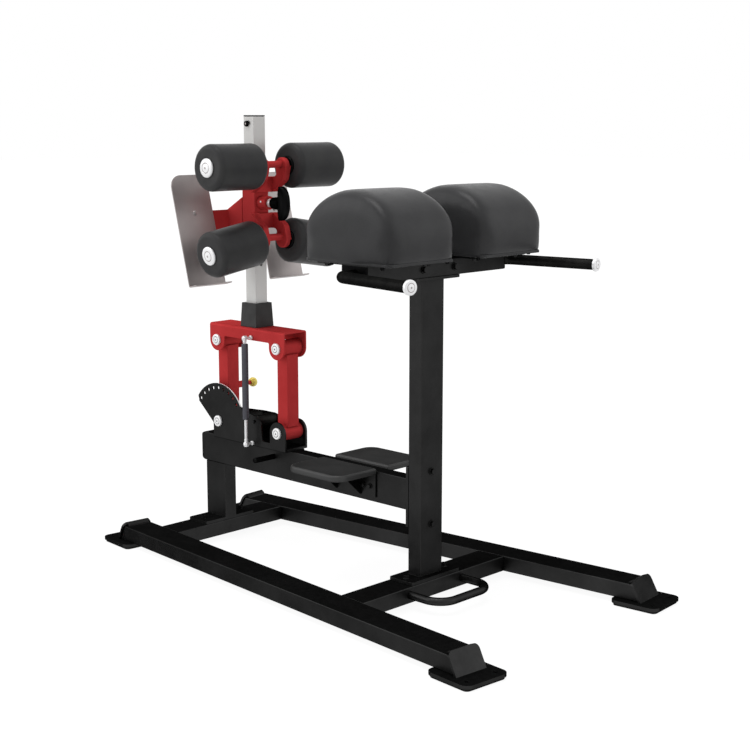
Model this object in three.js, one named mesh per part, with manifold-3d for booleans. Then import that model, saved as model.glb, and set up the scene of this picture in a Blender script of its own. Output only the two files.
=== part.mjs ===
// A glute ham developer: a floor frame with two splayed rails, a front post with two domed thigh
// pads and two hand grips, and at the back a foot carriage on a mast. The mast stands on a
// parallelogram of two red links, so it swings to and fro and stays upright.
// Millimetres, +X to the front, +Y to the far side, +Z up. The origin is the middle of the
// footprint on the floor.
import * as THREE from "three";
import { mergeVertices } from "three/addons/utils/BufferGeometryUtils.js";
import Module from "manifold-3d";

const wasm = await Module();
wasm.setup();

// Fits and facets
const seat = 0.3; // gap between pieces that touch
const runningFit = 0.5; // gap at a pin that turns or slides
const overrun = 3; // how far a cutter runs past the face that it cuts
const fineSides = 18;
const tubeSides = 10;
const rollerSides = 24;
const smallSides = 8;
const boltSides = 6;
const hubSides = 14;
const cornerSteps = 1; // half of the facets on a small corner
const arcSteps = 3;
const wideArcSteps = 8;
const bendSteps = 2;

// Floor frame
const railHalfLength = 806;
const railWidth = 100;
const railHeight = 50;
const railCorner = 3;
const railWall = 3;
const railSplay = 5.1; // degrees, wider at the front
const railMidOffset = 340; // from the middle plane to a rail's centreline, at mid length
const railDrainRadius = 4;
const footPlateOverhang = 21; // of a foot plate's middle past the end of the rail's top
const footPlateLength = 154;
const footPlateWidth = 156;
const footPlateThickness = 9.5;
const footPlateCorner = 18;
const footBoltInset = 26;
const footBoltRadius = 6.5;
const rubberFootThickness = 8;
const rubberFootInset = 4;
const endCapLip = 17; // of the end plate's short lap on the rail's top
const endCapThickness = 7;
const endCapSlope = 29; // how much further out the sloped end is at the bottom
const endCapSet = 1.5; // how deep the welded end plate bites into the tube
const endCapProud = 6; // of the end plate past each side of the rail

// Cross tubes, posts and beam
const crossTubeDepth = 100;
const crossTubeHeight = 50;
const tubeWall = 3;
const tubeCorner = 3;
const frontPostX = 297.5;
const rearPostX = -667.5;
const frontPostWidth = 100;
const frontPostDepth = 50;
const rearPostWidth = 50;
const rearPostDepth = 100;
const basePlateWidth = 220;
const basePlateDepth = 96;
const basePlateThickness = 10;
const basePlateCorner = 8;
const baseBoltSpread = 172;
const frontPostTop = 983;
const topPlateWidth = 194;
const topPlateDepth = 98;
const topPlateThickness = 8.7;
const beamWidth = 50;
const beamHeight = 100;
const beamTop = 368;
const beamRearOverhang = 58.5; // from the rear post's centre to the beam's open end
const flangeThickness = 10;
const flangeWidth = 100;
const flangeHeight = 190;
const flangeBoltSpread = 164;
const boltRadius = 9.5;
const boltHeadHeight = 8;
const washerShare = 1.35; // of the head's radius
const washerThickness = 2.5;
const plugThickness = 5;
const plugDome = 12;
const plugRim = 4; // of the plug's flat rim round its dome

// Carry loop at the front cross tube
const loopTubeRadius = 12.5;
const loopHalfWidth = 118;
const loopReach = 122;
const loopBend = 58;

// Steps over the beam
const stepRear = -122;
const stepFront = 115;
const stepOuter = 193;
const stepThickness = 21;
const stepTop = 378;
const stepCorner = 42;
const stepCheekThickness = 5;
const stepCheekDrop = 93;
const stepRibThickness = 6;
const stepRibReach = 84;
const stepRibInset = 65;
const stepBoltInset = 24;
const stepBoltSpread = 27;
const stepBoltDrop = 60;

// Band peg through the beam
const pegX = -364;
const pegDrop = 30; // below the beam's top
const pegRadius = 8;
const pegReach = 118;

// Pad support
const padBarHalfLength = 300;
const padPlateThickness = 5;
const padPlateLength = 276;
const padPlateWidth = 232;
const padPlateCorner = 12;
const padBarBoltSpread = 136;
const padBoltSpreadX = 224;
const padBoltSpreadY = 190;
const padBoltRadius = 7;
const padBoltHead = 6;

// Thigh pads
const padInner = 56;
const padOuter = 334;
const padCentreX = 286.5;
const padHalfLength = 172;
const padWallHeight = 84; // upright part of the sides below the dome
const padDomeHeight = 125;
const padEdgeRadius = 36;
const padCornerShare = 0.4; // of the edge's radius, at the upright corners in plan
const padDrawIn = 7; // how far the sides draw in at the bottom
const padEndCrown = 8;
const padProfileSteps = 18;
const padEdgeSteps = 4;
const padSideSteps = 3;

// Hand grips
const gripTubeRadius = 16.5;
const gripSplay = 9; // degrees, outwards to the front
const gripBend = 30;
const gripRearOffset = 66; // from the pad bar's end to the bend's corner
const gripReach = 312; // from the corner to the front end
const gripDrop = 27; // of the grip's axis below the pad bar's top
const gripCapRadius = 21;
const gripCapLength = 11;
const gripCapFaceShare = 0.88;

// Parallelogram linkage
const linkCentreX = -466;
const linkSpacing = 300;
const linkLength = 282;
const lowerPivotRise = 58; // above the beam's top
const linkTube = 50;
const linkWall = 4;
const linkCorner = 2.5;
const linkBushRadius = 27;
const linkVentRadius = 4;
const bracketHalfWidth = 50; // outer faces of the two side plates
const bracketThickness = 8;
const bracketBaseThickness = 8;
const bracketRearMargin = 34;
const bracketFrontMargin = 37;
const bracketNotchHeight = 12;
const humpHalfWidth = 62;
const humpHeight = 98;
const humpCorner = 34;
const pivotPinRadius = 11;
const pivotCapRadius = 19;
const pivotCapHeight = 8;
const pivotCapFaceShare = 0.75;
const bumpStopRadius = 20;
const bumpStopForward = 34; // of the links' middle
const bumpStopRise = 82; // of its axis above the beam's top
const bumpBoltRadius = 4;

// Index plate and its pull pin
const indexHoleCount = 9;
const indexHalfAngle = 54; // degrees, from upright to the last hole
const indexHoleCircle = 115;
const indexPlateRadius = 131;
const indexHoleRadius = 5.5;
const indexEndAngle = 63; // degrees, where the arc ends
const indexPinRadius = 4.9;
const indexPinStroke = 10; // inwards, from just clear of the index plate to locked
const indexBarrelRadius = 9;
const indexBarrelLength = 70;
const indexNeckRadius = 7; // of the barrel's end, which the knob slides over
const indexKnobRadius = 16;
const indexKnobLength = 26;
const indexKnobCrown = 4; // solid end beyond the pin
const indexKnobNeckShare = 0.72;

// Coupler that carries the mast
const couplerHalfWidth = 50;
const couplerWall = 6;
const couplerTop = 764.5;
const couplerEndMargin = 37;
const couplerDeepDrop = 40.5; // depth of its sides above the links
const couplerLugRadius = 37;

// Gas strut beside the links
const strutOffset = 80; // from the middle plane
const strutForward = 28; // of the links' middle
const strutLowerRise = 8; // of the lower ball above the beam's top
const strutUpperDrop = 30.5; // of the upper ball below the coupler's top
const strutBodyRadius = 11;
const strutBore = 7.5;
const strutRodRadius = 5;
const strutEyeRadius = 9;
const strutEyeHalfWidth = 6;
const strutStudRadius = 4;
const strutStudHeadRadius = 6;
const strutStudHead = 3;
const strutCollarRadius = 7;
const strutCollarLength = 7;
const strutExposedRod = 83;
const strutRodOverlap = 120;
const strutNeck = 27; // from the upper eye to the body's closed end
const strutNeckRadius = 5;

// Mast
const mastSize = 50;
const mastWall = 3;
const mastCorner = 2;
const mastTopMargin = 125; // of the mast above its highest hole
const mastCapHeight = 4;
const mastPlugDepth = 30;
const collarHeight = 80;
const collarTopHalf = 35.5;
const collarBottomHalf = 39.5;
const mastHoleRadius = 6.4;
const mastHolePitch = 51;
const mastHolesDown = 4;
const mastHolesUp = 3;
const stopScrewRadius = 7;
const stopScrewShank = 3.5;
const stopScrewHead = 5;
const stopScrewDrop = 20;

// Foot carriage
const pinHeight = 1177;
const sleeveSize = 62;
const sleeveWall = 4;
const sleeveLength = 168;
const sleeveCorner = 3.5;
const linerThickness = 1.4;
const linerLip = 3;
const yokeHalfWidth = 53;
const yokeArm = 18;
const yokeBlockDepth = 14;
const yokeBlockHeight = 50;
const yokeBlockRise = 59; // of a block's middle from the pin
const yokeBossRadius = 27;
const yokeBendShare = 0.55;
const axleX = -380;
const axleRise = 120; // of each axle from the pin
const axleRadius = 12;
const axleReach = 219; // of an axle stub past its boss
const axleDroop = 9; // degrees, outward droop of the lower pair
const crossRodRadius = 11;

// Foam rollers
const rollerRadius = 74;
const rollerLength = 200;
const rollerStart = 18; // from the yoke's boss to the foam
const rollerEdge = 18;
const rollerEdgeSteps = 2;
const hubRadius = 20;
const hubWasherRadius = 30;
const hubWasherThickness = 11;
const hubCapRadius = 30;
const hubCapThickness = 5;
const hubCapDome = 4;
const hubCapFaceShare = 0.6;

// Pull pin of the carriage
const barrelRadius = 22.5;
const barrelLength = 40;
const pullCollarRadius = 14.5;
const pullCollarLength = 16;
const pullPinRadius = 5.8;
const pullPinStroke = 7; // inwards, from just clear of the mast to locked
const pullHubRadius = 22.5;
const pullHubLength = 37;
const gripHalfHeight = 55.5;
const gripDepth = 31;
const gripWidth = 30;

// Foot plates
const footrestLength = 365;
const footrestWidth = 152;
const footrestThickness = 4;
const footrestLean = 14.5; // degrees, back from upright
const footrestInner = 98;
const footrestBottomX = -507;
const footrestBottom = 914;
const footrestCorner = 42;
const footrestLip = 34;
const footrestBoltRadius = 8;
const footrestBoltHead = 4;
const footrestBoltRise = 238;
const footrestBoltFaceShare = 0.75;
const yokePlateThickness = 8;
const yokePlateBottomShare = 0.47; // along the foot plate, where the cross plate starts
const yokePlateTopShare = 0.67;
const yokePlateEndShare = 0.74;
const yokePlateHalfWidth = 214;
const yokePlateNeck = 104;
const sideWebThickness = 8;
const sideWebHeight = 92;
const sideWebBase = 8; // above the sleeve's lower end

const steelBlack = { color: 0x1c1c1d, roughness: 0.55, metalness: 0.35 };
const padBlack = { color: 0x3a3a3b, roughness: 0.6, metalness: 0 };
const plasticBlack = { color: 0x161616, roughness: 0.5, metalness: 0 };
const coatRed = { color: 0xa02630, roughness: 0.45, metalness: 0.3 };
const mastSilver = { color: 0xc8c8c8, roughness: 0.35, metalness: 0.6 };
const sheetGrey = { color: 0xa9a6a4, roughness: 0.4, metalness: 0.7 };
const capSilver = { color: 0xe4e4e6, roughness: 0.25, metalness: 0.8 };
const knobYellow = { color: 0xd9bf2a, roughness: 0.45, metalness: 0 };

// Values that follow from the sizes above
const radians = THREE.MathUtils.degToRad;
const sides = [
  { name: "near", sign: -1 },
  { name: "far", sign: 1 },
];
const footPlateMid = railHalfLength + footPlateOverhang;
const railBottom = rubberFootThickness + footPlateThickness + 2 * seat;
const railTop = railBottom + railHeight;
const beamBottom = beamTop - beamHeight;
const beamMid = beamTop - beamHeight / 2;
const basePlateBottom = railTop + seat;
const basePlateTop = basePlateBottom + basePlateThickness;
const padBarBottom = frontPostTop + topPlateThickness + 2 * seat;
const padBarTop = padBarBottom + crossTubeHeight;
const padBottom = padBarTop + padPlateThickness + seat;
const lowerPivotZ = beamTop + lowerPivotRise;
const upperPivotZ = lowerPivotZ + linkLength;
const rearPivotX = linkCentreX - linkSpacing / 2;
const frontPivotX = linkCentreX + linkSpacing / 2;
const bracketInner = bracketHalfWidth - bracketThickness;
const couplerInner = couplerHalfWidth - couplerWall;
const bumpStopX = linkCentreX + bumpStopForward;
const strutX = linkCentreX + strutForward;
const strutLowerZ = beamTop + strutLowerRise;
const strutUpperZ = couplerTop - strutUpperDrop;
const mastX = linkCentreX;
const mastBottom = couplerTop + seat;
const mastTop = pinHeight + mastHolesUp * mastHolePitch + mastTopMargin;
const mastFront = mastX + mastSize / 2;
const sleeveFront = mastX + sleeveSize / 2;

// Joins and cuts
function toSolid(geometry) {
  const bare = geometry.clone();
  bare.deleteAttribute("normal");
  bare.deleteAttribute("uv");
  const welded = mergeVertices(bare);
  const mesh = new wasm.Mesh({
    numProp: 3,
    vertProperties: new Float32Array(welded.attributes.position.array),
    triVerts: new Uint32Array(welded.index.array),
  });
  return new wasm.Manifold(mesh);
}

function toGeometry(solid) {
  const mesh = solid.getMesh();
  const geometry = new THREE.BufferGeometry();
  geometry.setAttribute("position", new THREE.BufferAttribute(new Float32Array(mesh.vertProperties), 3));
  geometry.setIndex(new THREE.BufferAttribute(new Uint32Array(mesh.triVerts), 1));
  geometry.computeVertexNormals();
  return geometry;
}

function join(geometries) {
  const [first, ...rest] = geometries.map(toSolid);
  return toGeometry(rest.reduce((sum, solid) => sum.add(solid), first));
}

function cut(body, cutters) {
  return toGeometry(cutters.map(toSolid).reduce((left, solid) => left.subtract(solid), toSolid(body)));
}

function keepInside(body, limit) {
  return toGeometry(toSolid(body).intersect(toSolid(limit)));
}

// Basic forms, each given by where it lies
function block(x, y, z) {
  const box = new THREE.BoxGeometry(x[1] - x[0], y[1] - y[0], z[1] - z[0]);
  return box.translate((x[0] + x[1]) / 2, (y[0] + y[1]) / 2, (z[0] + z[1]) / 2);
}

function rodBetween(start, end, radius, count = fineSides, endRadius = radius) {
  const from = new THREE.Vector3(...start);
  const along = new THREE.Vector3(...end).sub(from);
  const rod = new THREE.CylinderGeometry(endRadius, radius, along.length(), count);
  rod.translate(0, along.length() / 2, 0);
  const turn = new THREE.Quaternion().setFromUnitVectors(
    new THREE.Vector3(0, 1, 0), along.clone().normalize());
  return rod.applyQuaternion(turn).translate(from.x, from.y, from.z);
}

function outlineOf(points) {
  return new THREE.Shape(points.map(([u, v]) => new THREE.Vector2(u, v)));
}

function roundedOutline(width, height, radius) {
  const w = width / 2;
  const h = height / 2;
  const shape = new THREE.Shape();
  shape.moveTo(-w + radius, -h);
  shape.lineTo(w - radius, -h);
  shape.absarc(w - radius, -h + radius, radius, -Math.PI / 2, 0);
  shape.lineTo(w, h - radius);
  shape.absarc(w - radius, h - radius, radius, 0, Math.PI / 2);
  shape.lineTo(-w + radius, h);
  shape.absarc(-w + radius, h - radius, radius, Math.PI / 2, Math.PI);
  shape.lineTo(-w, -h + radius);
  shape.absarc(-w + radius, -h + radius, radius, Math.PI, 1.5 * Math.PI);
  return shape;
}

function extrude(shape, depth, steps = cornerSteps) {
  return new THREE.ExtrudeGeometry(shape, { depth, bevelEnabled: false, curveSegments: steps });
}

// An outline in X and Z, drawn out along Y from one y to another
function prismAlongY(shape, y, steps = cornerSteps) {
  const basis = new THREE.Matrix4().makeBasis(
    new THREE.Vector3(1, 0, 0), new THREE.Vector3(0, 0, 1), new THREE.Vector3(0, -1, 0));
  return extrude(shape, y[1] - y[0], steps).applyMatrix4(basis).translate(0, y[1], 0);
}

// An outline in Y and Z, drawn out along X
function prismAlongX(shape, x, steps = cornerSteps) {
  const basis = new THREE.Matrix4().makeBasis(
    new THREE.Vector3(0, 1, 0), new THREE.Vector3(0, 0, 1), new THREE.Vector3(1, 0, 0));
  return extrude(shape, x[1] - x[0], steps).applyMatrix4(basis).translate(x[0], 0, 0);
}

// An outline in X and Y, drawn out upwards
function prismAlongZ(shape, z, steps = cornerSteps) {
  return extrude(shape, z[1] - z[0], steps).translate(0, 0, z[0]);
}

function tubeOutline(width, height, wall, corner) {
  const shape = roundedOutline(width, height, corner);
  shape.holes.push(roundedOutline(width - 2 * wall, height - 2 * wall, corner - wall / 2));
  return shape;
}

// A round tube or rod that follows a line with rounded corners
function bentRod(corners, bend, radius, stepsPerBend) {
  const points = corners.map((corner) => new THREE.Vector3(...corner));
  const path = new THREE.CurvePath();
  let from = points[0];
  for (let i = 1; i < points.length - 1; i += 1) {
    const before = points[i].clone().add(
      points[i - 1].clone().sub(points[i]).normalize().multiplyScalar(bend));
    const after = points[i].clone().add(
      points[i + 1].clone().sub(points[i]).normalize().multiplyScalar(bend));
    path.add(new THREE.LineCurve3(from, before));
    path.add(new THREE.QuadraticBezierCurve3(before, points[i], after));
    from = after;
  }
  path.add(new THREE.LineCurve3(from, points[points.length - 1]));
  const ring = new THREE.Shape().absarc(0, 0, radius, 0, 2 * Math.PI);
  return new THREE.ExtrudeGeometry(ring, {
    steps: stepsPerBend * (2 * corners.length - 3),
    extrudePath: path,
    curveSegments: tubeSides / 2,
  });
}

function hexHead(start, end, radius) {
  return rodBetween(start, end, radius, boltSides);
}

// A turned form about the Y axis: its profile gives radius and place along the axis
function turned(profile, count = fineSides) {
  return new THREE.LatheGeometry(profile.map(([r, y]) => new THREE.Vector2(r, y)), count);
}

// Scene tree
const developer = new THREE.Group();

function addPart(parent, name, geometry, finish) {
  const mesh = new THREE.Mesh(geometry, new THREE.MeshStandardMaterial(finish));
  mesh.name = name;
  parent.add(mesh);
  return mesh;
}

// Rails stand splayed on the floor; each group's X axis runs along its rail
function railGroup(side) {
  const group = new THREE.Group();
  group.position.set(0, side.sign * railMidOffset, 0);
  group.rotation.z = side.sign * radians(railSplay);
  developer.add(group);
  return group;
}

// The slanted end plate that closes a rail, with its short lap on the rail's top
function railEndPlate(sign) {
  const top = railTop - endCapSet;
  const crest = railTop + endCapThickness;
  const foot = railHalfLength + endCapSlope;
  const rise = crest - railBottom;
  const outward = endCapThickness * Math.hypot(rise, endCapSlope) / rise;
  const outline = outlineOf([
    [sign * (railHalfLength - endCapLip), top],
    [sign * (railHalfLength - endCapLip + endCapThickness), crest],
    [sign * (railHalfLength + endCapThickness / 2), crest],
    [sign * (railHalfLength + outward), crest - endCapThickness],
    [sign * (foot + outward), railBottom - seat],
    [sign * (foot - endCapSet), railBottom - seat],
    [sign * (railHalfLength - endCapSet), top],
  ]);
  const half = railWidth / 2 + endCapProud;
  return prismAlongY(outline, [-half, half]);
}

function footPlateOutline(inset) {
  return roundedOutline(footPlateLength - 2 * inset, footPlateWidth - 2 * inset, footPlateCorner - inset);
}

// A rail is one weldment: tube, two slanted end plates and two foot plates
function buildRail(side, group) {
  const foot = railHalfLength + endCapSlope;
  const tube = prismAlongX(tubeOutline(railWidth, railHeight, railWall, railCorner), [-foot, foot]);
  tube.translate(0, 0, railBottom + railHeight / 2);
  const slanted = prismAlongY(outlineOf([
    [-foot, railBottom - overrun],
    [foot, railBottom - overrun],
    [foot, railBottom],
    [railHalfLength, railTop],
    [railHalfLength, railTop + overrun],
    [-railHalfLength, railTop + overrun],
    [-railHalfLength, railTop],
    [-foot, railBottom],
  ]), [-railWidth, railWidth]);
  const pieces = [keepInside(tube, slanted)];
  const holes = [];
  const plateZ = [rubberFootThickness + seat, railBottom];
  for (const sign of [-1, 1]) {
    pieces.push(railEndPlate(sign));
    pieces.push(prismAlongZ(footPlateOutline(0), plateZ, arcSteps).translate(sign * footPlateMid, 0, 0));
    const x = sign * (footPlateMid + footPlateLength / 2 - footBoltInset);
    for (const y of [-footPlateWidth / 2 + footBoltInset, footPlateWidth / 2 - footBoltInset]) {
      holes.push(rodBetween([x, y, plateZ[0] - overrun], [x, y, plateZ[1] + overrun],
        footBoltRadius, smallSides));
    }
  }
  holes.push(rodBetween([0, 0, railBottom - overrun], [0, 0, railBottom + railWall + overrun],
    railDrainRadius, smallSides));
  addPart(group, `${side.name}_rail`, cut(join(pieces), holes), steelBlack);
}

function buildRubberFeet(side, group) {
  for (const end of [{ name: "rear", sign: -1 }, { name: "front", sign: 1 }]) {
    const pad = prismAlongZ(footPlateOutline(rubberFootInset), [0, rubberFootThickness], arcSteps);
    const foot = addPart(group, `${side.name}_${end.name}_rubber_foot`, pad, plasticBlack);
    foot.position.x = end.sign * footPlateMid;
  }
}

// A cross tube between the rails, its ends cut to their splay
function buildCrossTube(name, centreX) {
  const outline = tubeOutline(crossTubeHeight, crossTubeDepth, tubeWall, tubeCorner);
  const basis = new THREE.Matrix4().makeBasis(
    new THREE.Vector3(0, 0, 1), new THREE.Vector3(1, 0, 0), new THREE.Vector3(0, 1, 0));
  const reach = 2 * railMidOffset;
  const tube = extrude(outline, reach).translate(0, 0, -reach / 2).applyMatrix4(basis);
  tube.translate(centreX, 0, railBottom + crossTubeHeight / 2);
  const slope = Math.tan(radians(railSplay));
  const halfRail = railWidth / 2 / Math.cos(radians(railSplay));
  const innerAt = (x) => railMidOffset + x * slope - halfRail - seat;
  const rear = centreX - crossTubeDepth / 2 - overrun;
  const front = centreX + crossTubeDepth / 2 + overrun;
  const between = prismAlongZ(outlineOf([
    [rear, -innerAt(rear)],
    [front, -innerAt(front)],
    [front, innerAt(front)],
    [rear, innerAt(rear)],
  ]), [railBottom - overrun, railTop + overrun]);
  addPart(developer, name, keepInside(tube, between), steelBlack);
}

function buildCarryLoop() {
  const start = frontPostX + crossTubeDepth / 2 + seat;
  const z = railBottom + crossTubeHeight / 2;
  const loop = bentRod([
    [start, -loopHalfWidth, z],
    [start + loopReach, -loopHalfWidth, z],
    [start + loopReach, loopHalfWidth, z],
    [start, loopHalfWidth, z],
  ], loopBend, loopTubeRadius, bendSteps);
  addPart(developer, "carry_loop", loop, steelBlack);
}

function basePlateAt(x) {
  const shape = roundedOutline(basePlateDepth, basePlateWidth, basePlateCorner);
  return prismAlongZ(shape, [basePlateBottom, basePlateTop]).translate(x, 0, 0);
}

// An upright tube
function uprightTube(x, depth, width, z) {
  const shape = tubeOutline(depth, width, tubeWall, tubeCorner);
  return prismAlongZ(shape, z).translate(x, 0, 0);
}

// A hexagon head on its washer, clamped on a face and standing out along a direction
function boltOn(point, direction, radius, head) {
  const base = new THREE.Vector3(...point);
  const out = new THREE.Vector3(...direction);
  const at = (distance) => base.clone().addScaledVector(out, distance).toArray();
  return [
    rodBetween(at(-seat), at(washerThickness), radius * washerShare, smallSides),
    hexHead(at(0), at(washerThickness + head), radius),
  ];
}

function basePlateBolts(x) {
  return sides.flatMap((side) => boltOn(
    [x, side.sign * baseBoltSpread / 2, basePlateTop], [0, 0, 1], boltRadius, boltHeadHeight));
}

function buildUprights() {
  const rear = join([
    uprightTube(rearPostX, rearPostDepth, rearPostWidth, [basePlateTop - seat, beamBottom - seat]),
    basePlateAt(rearPostX),
    ...basePlateBolts(rearPostX),
  ]);
  addPart(developer, "rear_upright", rear, steelBlack);
  const topShape = roundedOutline(topPlateDepth, topPlateWidth, basePlateCorner);
  const topPlate = prismAlongZ(topShape, [frontPostTop, frontPostTop + topPlateThickness]);
  topPlate.translate(frontPostX, 0, 0);
  const flangeBolts = [-1, 1].flatMap((sign) => boltOn(
    [frontPostX + frontPostDepth / 2, 0, beamMid + sign * flangeBoltSpread / 2],
    [1, 0, 0], boltRadius, boltHeadHeight));
  const front = join([
    uprightTube(frontPostX, frontPostDepth, frontPostWidth, [basePlateTop - seat, frontPostTop + seat]),
    basePlateAt(frontPostX),
    topPlate,
    ...basePlateBolts(frontPostX),
    ...flangeBolts,
  ]);
  // The closed post has a drain hole in its back, low down
  const drainX = frontPostX - frontPostDepth / 2;
  const drainZ = basePlateTop + frontPostDepth;
  const drain = rodBetween([drainX - overrun, 0, drainZ], [drainX + tubeWall + overrun, 0, drainZ],
    railDrainRadius, smallSides);
  addPart(developer, "front_upright", cut(front, [drain]), steelBlack);
}

function beamSpan() {
  return [rearPostX - beamRearOverhang, frontPostX - frontPostDepth / 2 - seat];
}

function buildBeam() {
  const [rear, front] = beamSpan();
  const tube = prismAlongX(tubeOutline(beamWidth, beamHeight, tubeWall, tubeCorner),
    [rear, front - flangeThickness + seat]);
  tube.translate(0, 0, beamMid);
  const flange = prismAlongX(roundedOutline(flangeWidth, flangeHeight, tubeCorner),
    [front - flangeThickness, front]).translate(0, 0, beamMid);
  const peg = rodBetween([pegX, -beamWidth, beamTop - pegDrop], [pegX, beamWidth, beamTop - pegDrop],
    pegRadius + seat, tubeSides);
  addPart(developer, "main_beam", cut(join([tube, flange]), [peg]), steelBlack);
}

// Closes the rear end of the beam with a shallow dome
function buildBeamPlug() {
  const [rear] = beamSpan();
  const corner = tubeCorner + plugRim;
  const flat = prismAlongX(roundedOutline(beamWidth, beamHeight, tubeCorner),
    [rear - plugThickness - seat, rear - seat]);
  const width = beamWidth - 2 * plugRim;
  const height = beamHeight - 2 * plugRim;
  const dome = prismAlongX(roundedOutline(width, height, corner),
    [rear - plugThickness - plugDome, rear - plugThickness]);
  addPart(developer, "beam_plug", join([flat, dome]).translate(0, 0, beamMid), plasticBlack);
}

// Two ends of a span that lies on one side of the middle plane, in rising order
function mirroredSpan(side, inner, outer) {
  return [side.sign * inner, side.sign * outer].sort((a, b) => a - b);
}

// Each step: a tread with rounded outer corners, a cheek bolted to the beam and two ribs
function buildStep(side) {
  const s = side.sign;
  const cheekInner = beamWidth / 2 + seat;
  const cheekOuter = cheekInner + stepCheekThickness;
  const cornerY = stepOuter - stepCorner;
  const outline = new THREE.Shape();
  outline.moveTo(stepRear, s * cheekInner);
  outline.lineTo(stepFront, s * cheekInner);
  outline.lineTo(stepFront, s * cornerY);
  outline.absarc(stepFront - stepCorner, s * cornerY, stepCorner, 0, s * Math.PI / 2, s < 0);
  outline.lineTo(stepRear + stepCorner, s * stepOuter);
  outline.absarc(stepRear + stepCorner, s * cornerY, stepCorner, s * Math.PI / 2, s * Math.PI, s < 0);
  const tread = prismAlongZ(outline, [stepTop - stepThickness, stepTop], arcSteps);
  const cheekBottom = stepTop - stepCheekDrop;
  const cheek = block([stepRear, stepFront], mirroredSpan(side, cheekInner, cheekOuter),
    [cheekBottom, stepTop - seat]);
  const ribTop = stepTop - stepThickness + seat;
  const ribShape = outlineOf([
    [s * (cheekInner + seat), cheekBottom],
    [s * cheekOuter, cheekBottom],
    [s * (cheekInner + stepRibReach), ribTop],
    [s * (cheekInner + seat), ribTop],
  ]);
  const pieces = [tread, cheek];
  for (const [edge, inward] of [[stepFront, -1], [stepRear, 1]]) {
    const x = edge + inward * stepRibInset;
    pieces.push(prismAlongX(ribShape, [x - stepRibThickness / 2, x + stepRibThickness / 2]));
    for (const inset of [stepBoltInset, stepBoltInset + stepBoltSpread]) {
      pieces.push(...boltOn([edge + inward * inset, s * cheekOuter, stepTop - stepBoltDrop],
        [0, s, 0], padBoltRadius, padBoltHead));
    }
  }
  addPart(developer, `${side.name}_step`, join(pieces), steelBlack);
}

function buildBandPeg() {
  const z = beamTop - pegDrop;
  const peg = rodBetween([pegX, -pegReach, z], [pegX, pegReach, z], pegRadius, tubeSides);
  addPart(developer, "band_peg", peg, steelBlack);
}

// The bar under the pads, with a plate welded on for each pad, and the bolts in both
function buildPadFrame() {
  const barShape = tubeOutline(crossTubeDepth, crossTubeHeight, tubeWall, tubeCorner);
  const bar = prismAlongY(barShape, [-padBarHalfLength, padBarHalfLength]);
  bar.translate(frontPostX, 0, padBarBottom + crossTubeHeight / 2);
  const pieces = [bar];
  for (const side of sides) {
    const padY = side.sign * (padInner + padOuter) / 2;
    const shape = roundedOutline(padPlateLength, padPlateWidth, padPlateCorner);
    const plate = prismAlongZ(shape, [padBarTop - seat, padBarTop + padPlateThickness]);
    pieces.push(plate.translate(padCentreX, padY, 0));
    pieces.push(...boltOn([frontPostX + crossTubeDepth / 2, side.sign * padBarBoltSpread / 2,
      padBarBottom + crossTubeHeight / 2], [1, 0, 0], boltRadius, boltHeadHeight));
    for (const u of [-1, 1]) {
      for (const v of [-1, 1]) {
        pieces.push(...boltOn([padCentreX + u * padBoltSpreadX / 2, padY + v * padBoltSpreadY / 2,
          padBarTop - seat], [0, 0, -1], padBoltRadius, padBoltHead));
      }
    }
  }
  addPart(developer, "pad_frame", join(pieces), steelBlack);
}

// Thigh pad: a dome in side view, drawn in a little at the bottom, with rounded, crowned ends
function buildThighPad(side) {
  const halfWidth = (padOuter - padInner) / 2;
  const rings = [];
  const stations = [];
  for (let i = 0; i <= padEdgeSteps; i += 1) {
    const turn = (i / padEdgeSteps) * Math.PI / 2;
    stations.push({
      y: halfWidth - padEdgeRadius + padEdgeRadius * Math.cos(turn),
      inset: padEdgeRadius * (1 - Math.sin(turn)),
    });
  }
  for (const station of stations) {
    rings.push({ y: -station.y, inset: station.inset });
  }
  for (let i = 1; i < padSideSteps; i += 1) {
    const y = (halfWidth - padEdgeRadius) * (2 * i / padSideSteps - 1);
    rings.push({ y, inset: 0 });
  }
  for (const station of stations.reverse()) {
    rings.push({ y: station.y, inset: station.inset });
  }
  const profile = (inset) => {
    const points = [];
    const half = padHalfLength - inset * padCornerShare;
    points.push([-half + padDrawIn, 0]);
    points.push([-half, padWallHeight / 2]);
    for (let i = 0; i <= padProfileSteps; i += 1) {
      const turn = Math.PI * (1 - i / padProfileSteps);
      points.push([half * Math.cos(turn), padWallHeight + (padDomeHeight - inset) * Math.sin(turn)]);
    }
    points.push([half, padWallHeight / 2]);
    points.push([half - padDrawIn, 0]);
    return points;
  };
  const positions = [];
  const faces = [];
  const count = profile(0).length;
  for (const ring of rings) {
    for (const [x, z] of profile(ring.inset)) {
      positions.push(x, ring.y, z);
    }
  }
  for (let r = 0; r < rings.length - 1; r += 1) {
    for (let i = 0; i < count; i += 1) {
      const a = r * count + i;
      const b = r * count + (i + 1) % count;
      faces.push(a, b, a + count, b, b + count, a + count);
    }
  }
  const last = (rings.length - 1) * count;
  const middle = positions.length / 3;
  const middleHeight = (padWallHeight + padDomeHeight) / 2;
  positions.push(0, -halfWidth - padEndCrown / 2, middleHeight, 0, halfWidth + padEndCrown / 2, middleHeight);
  for (let i = 0; i < count; i += 1) {
    const next = (i + 1) % count;
    faces.push(middle, next, i, middle + 1, last + i, last + next);
  }
  const geometry = new THREE.BufferGeometry();
  geometry.setAttribute("position", new THREE.Float32BufferAttribute(positions, 3));
  geometry.setIndex(faces);
  geometry.computeVertexNormals();
  const pad = addPart(developer, `${side.name}_thigh_pad`, geometry, padBlack);
  pad.position.set(padCentreX, side.sign * (padInner + padOuter) / 2, padBottom);
}

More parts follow.
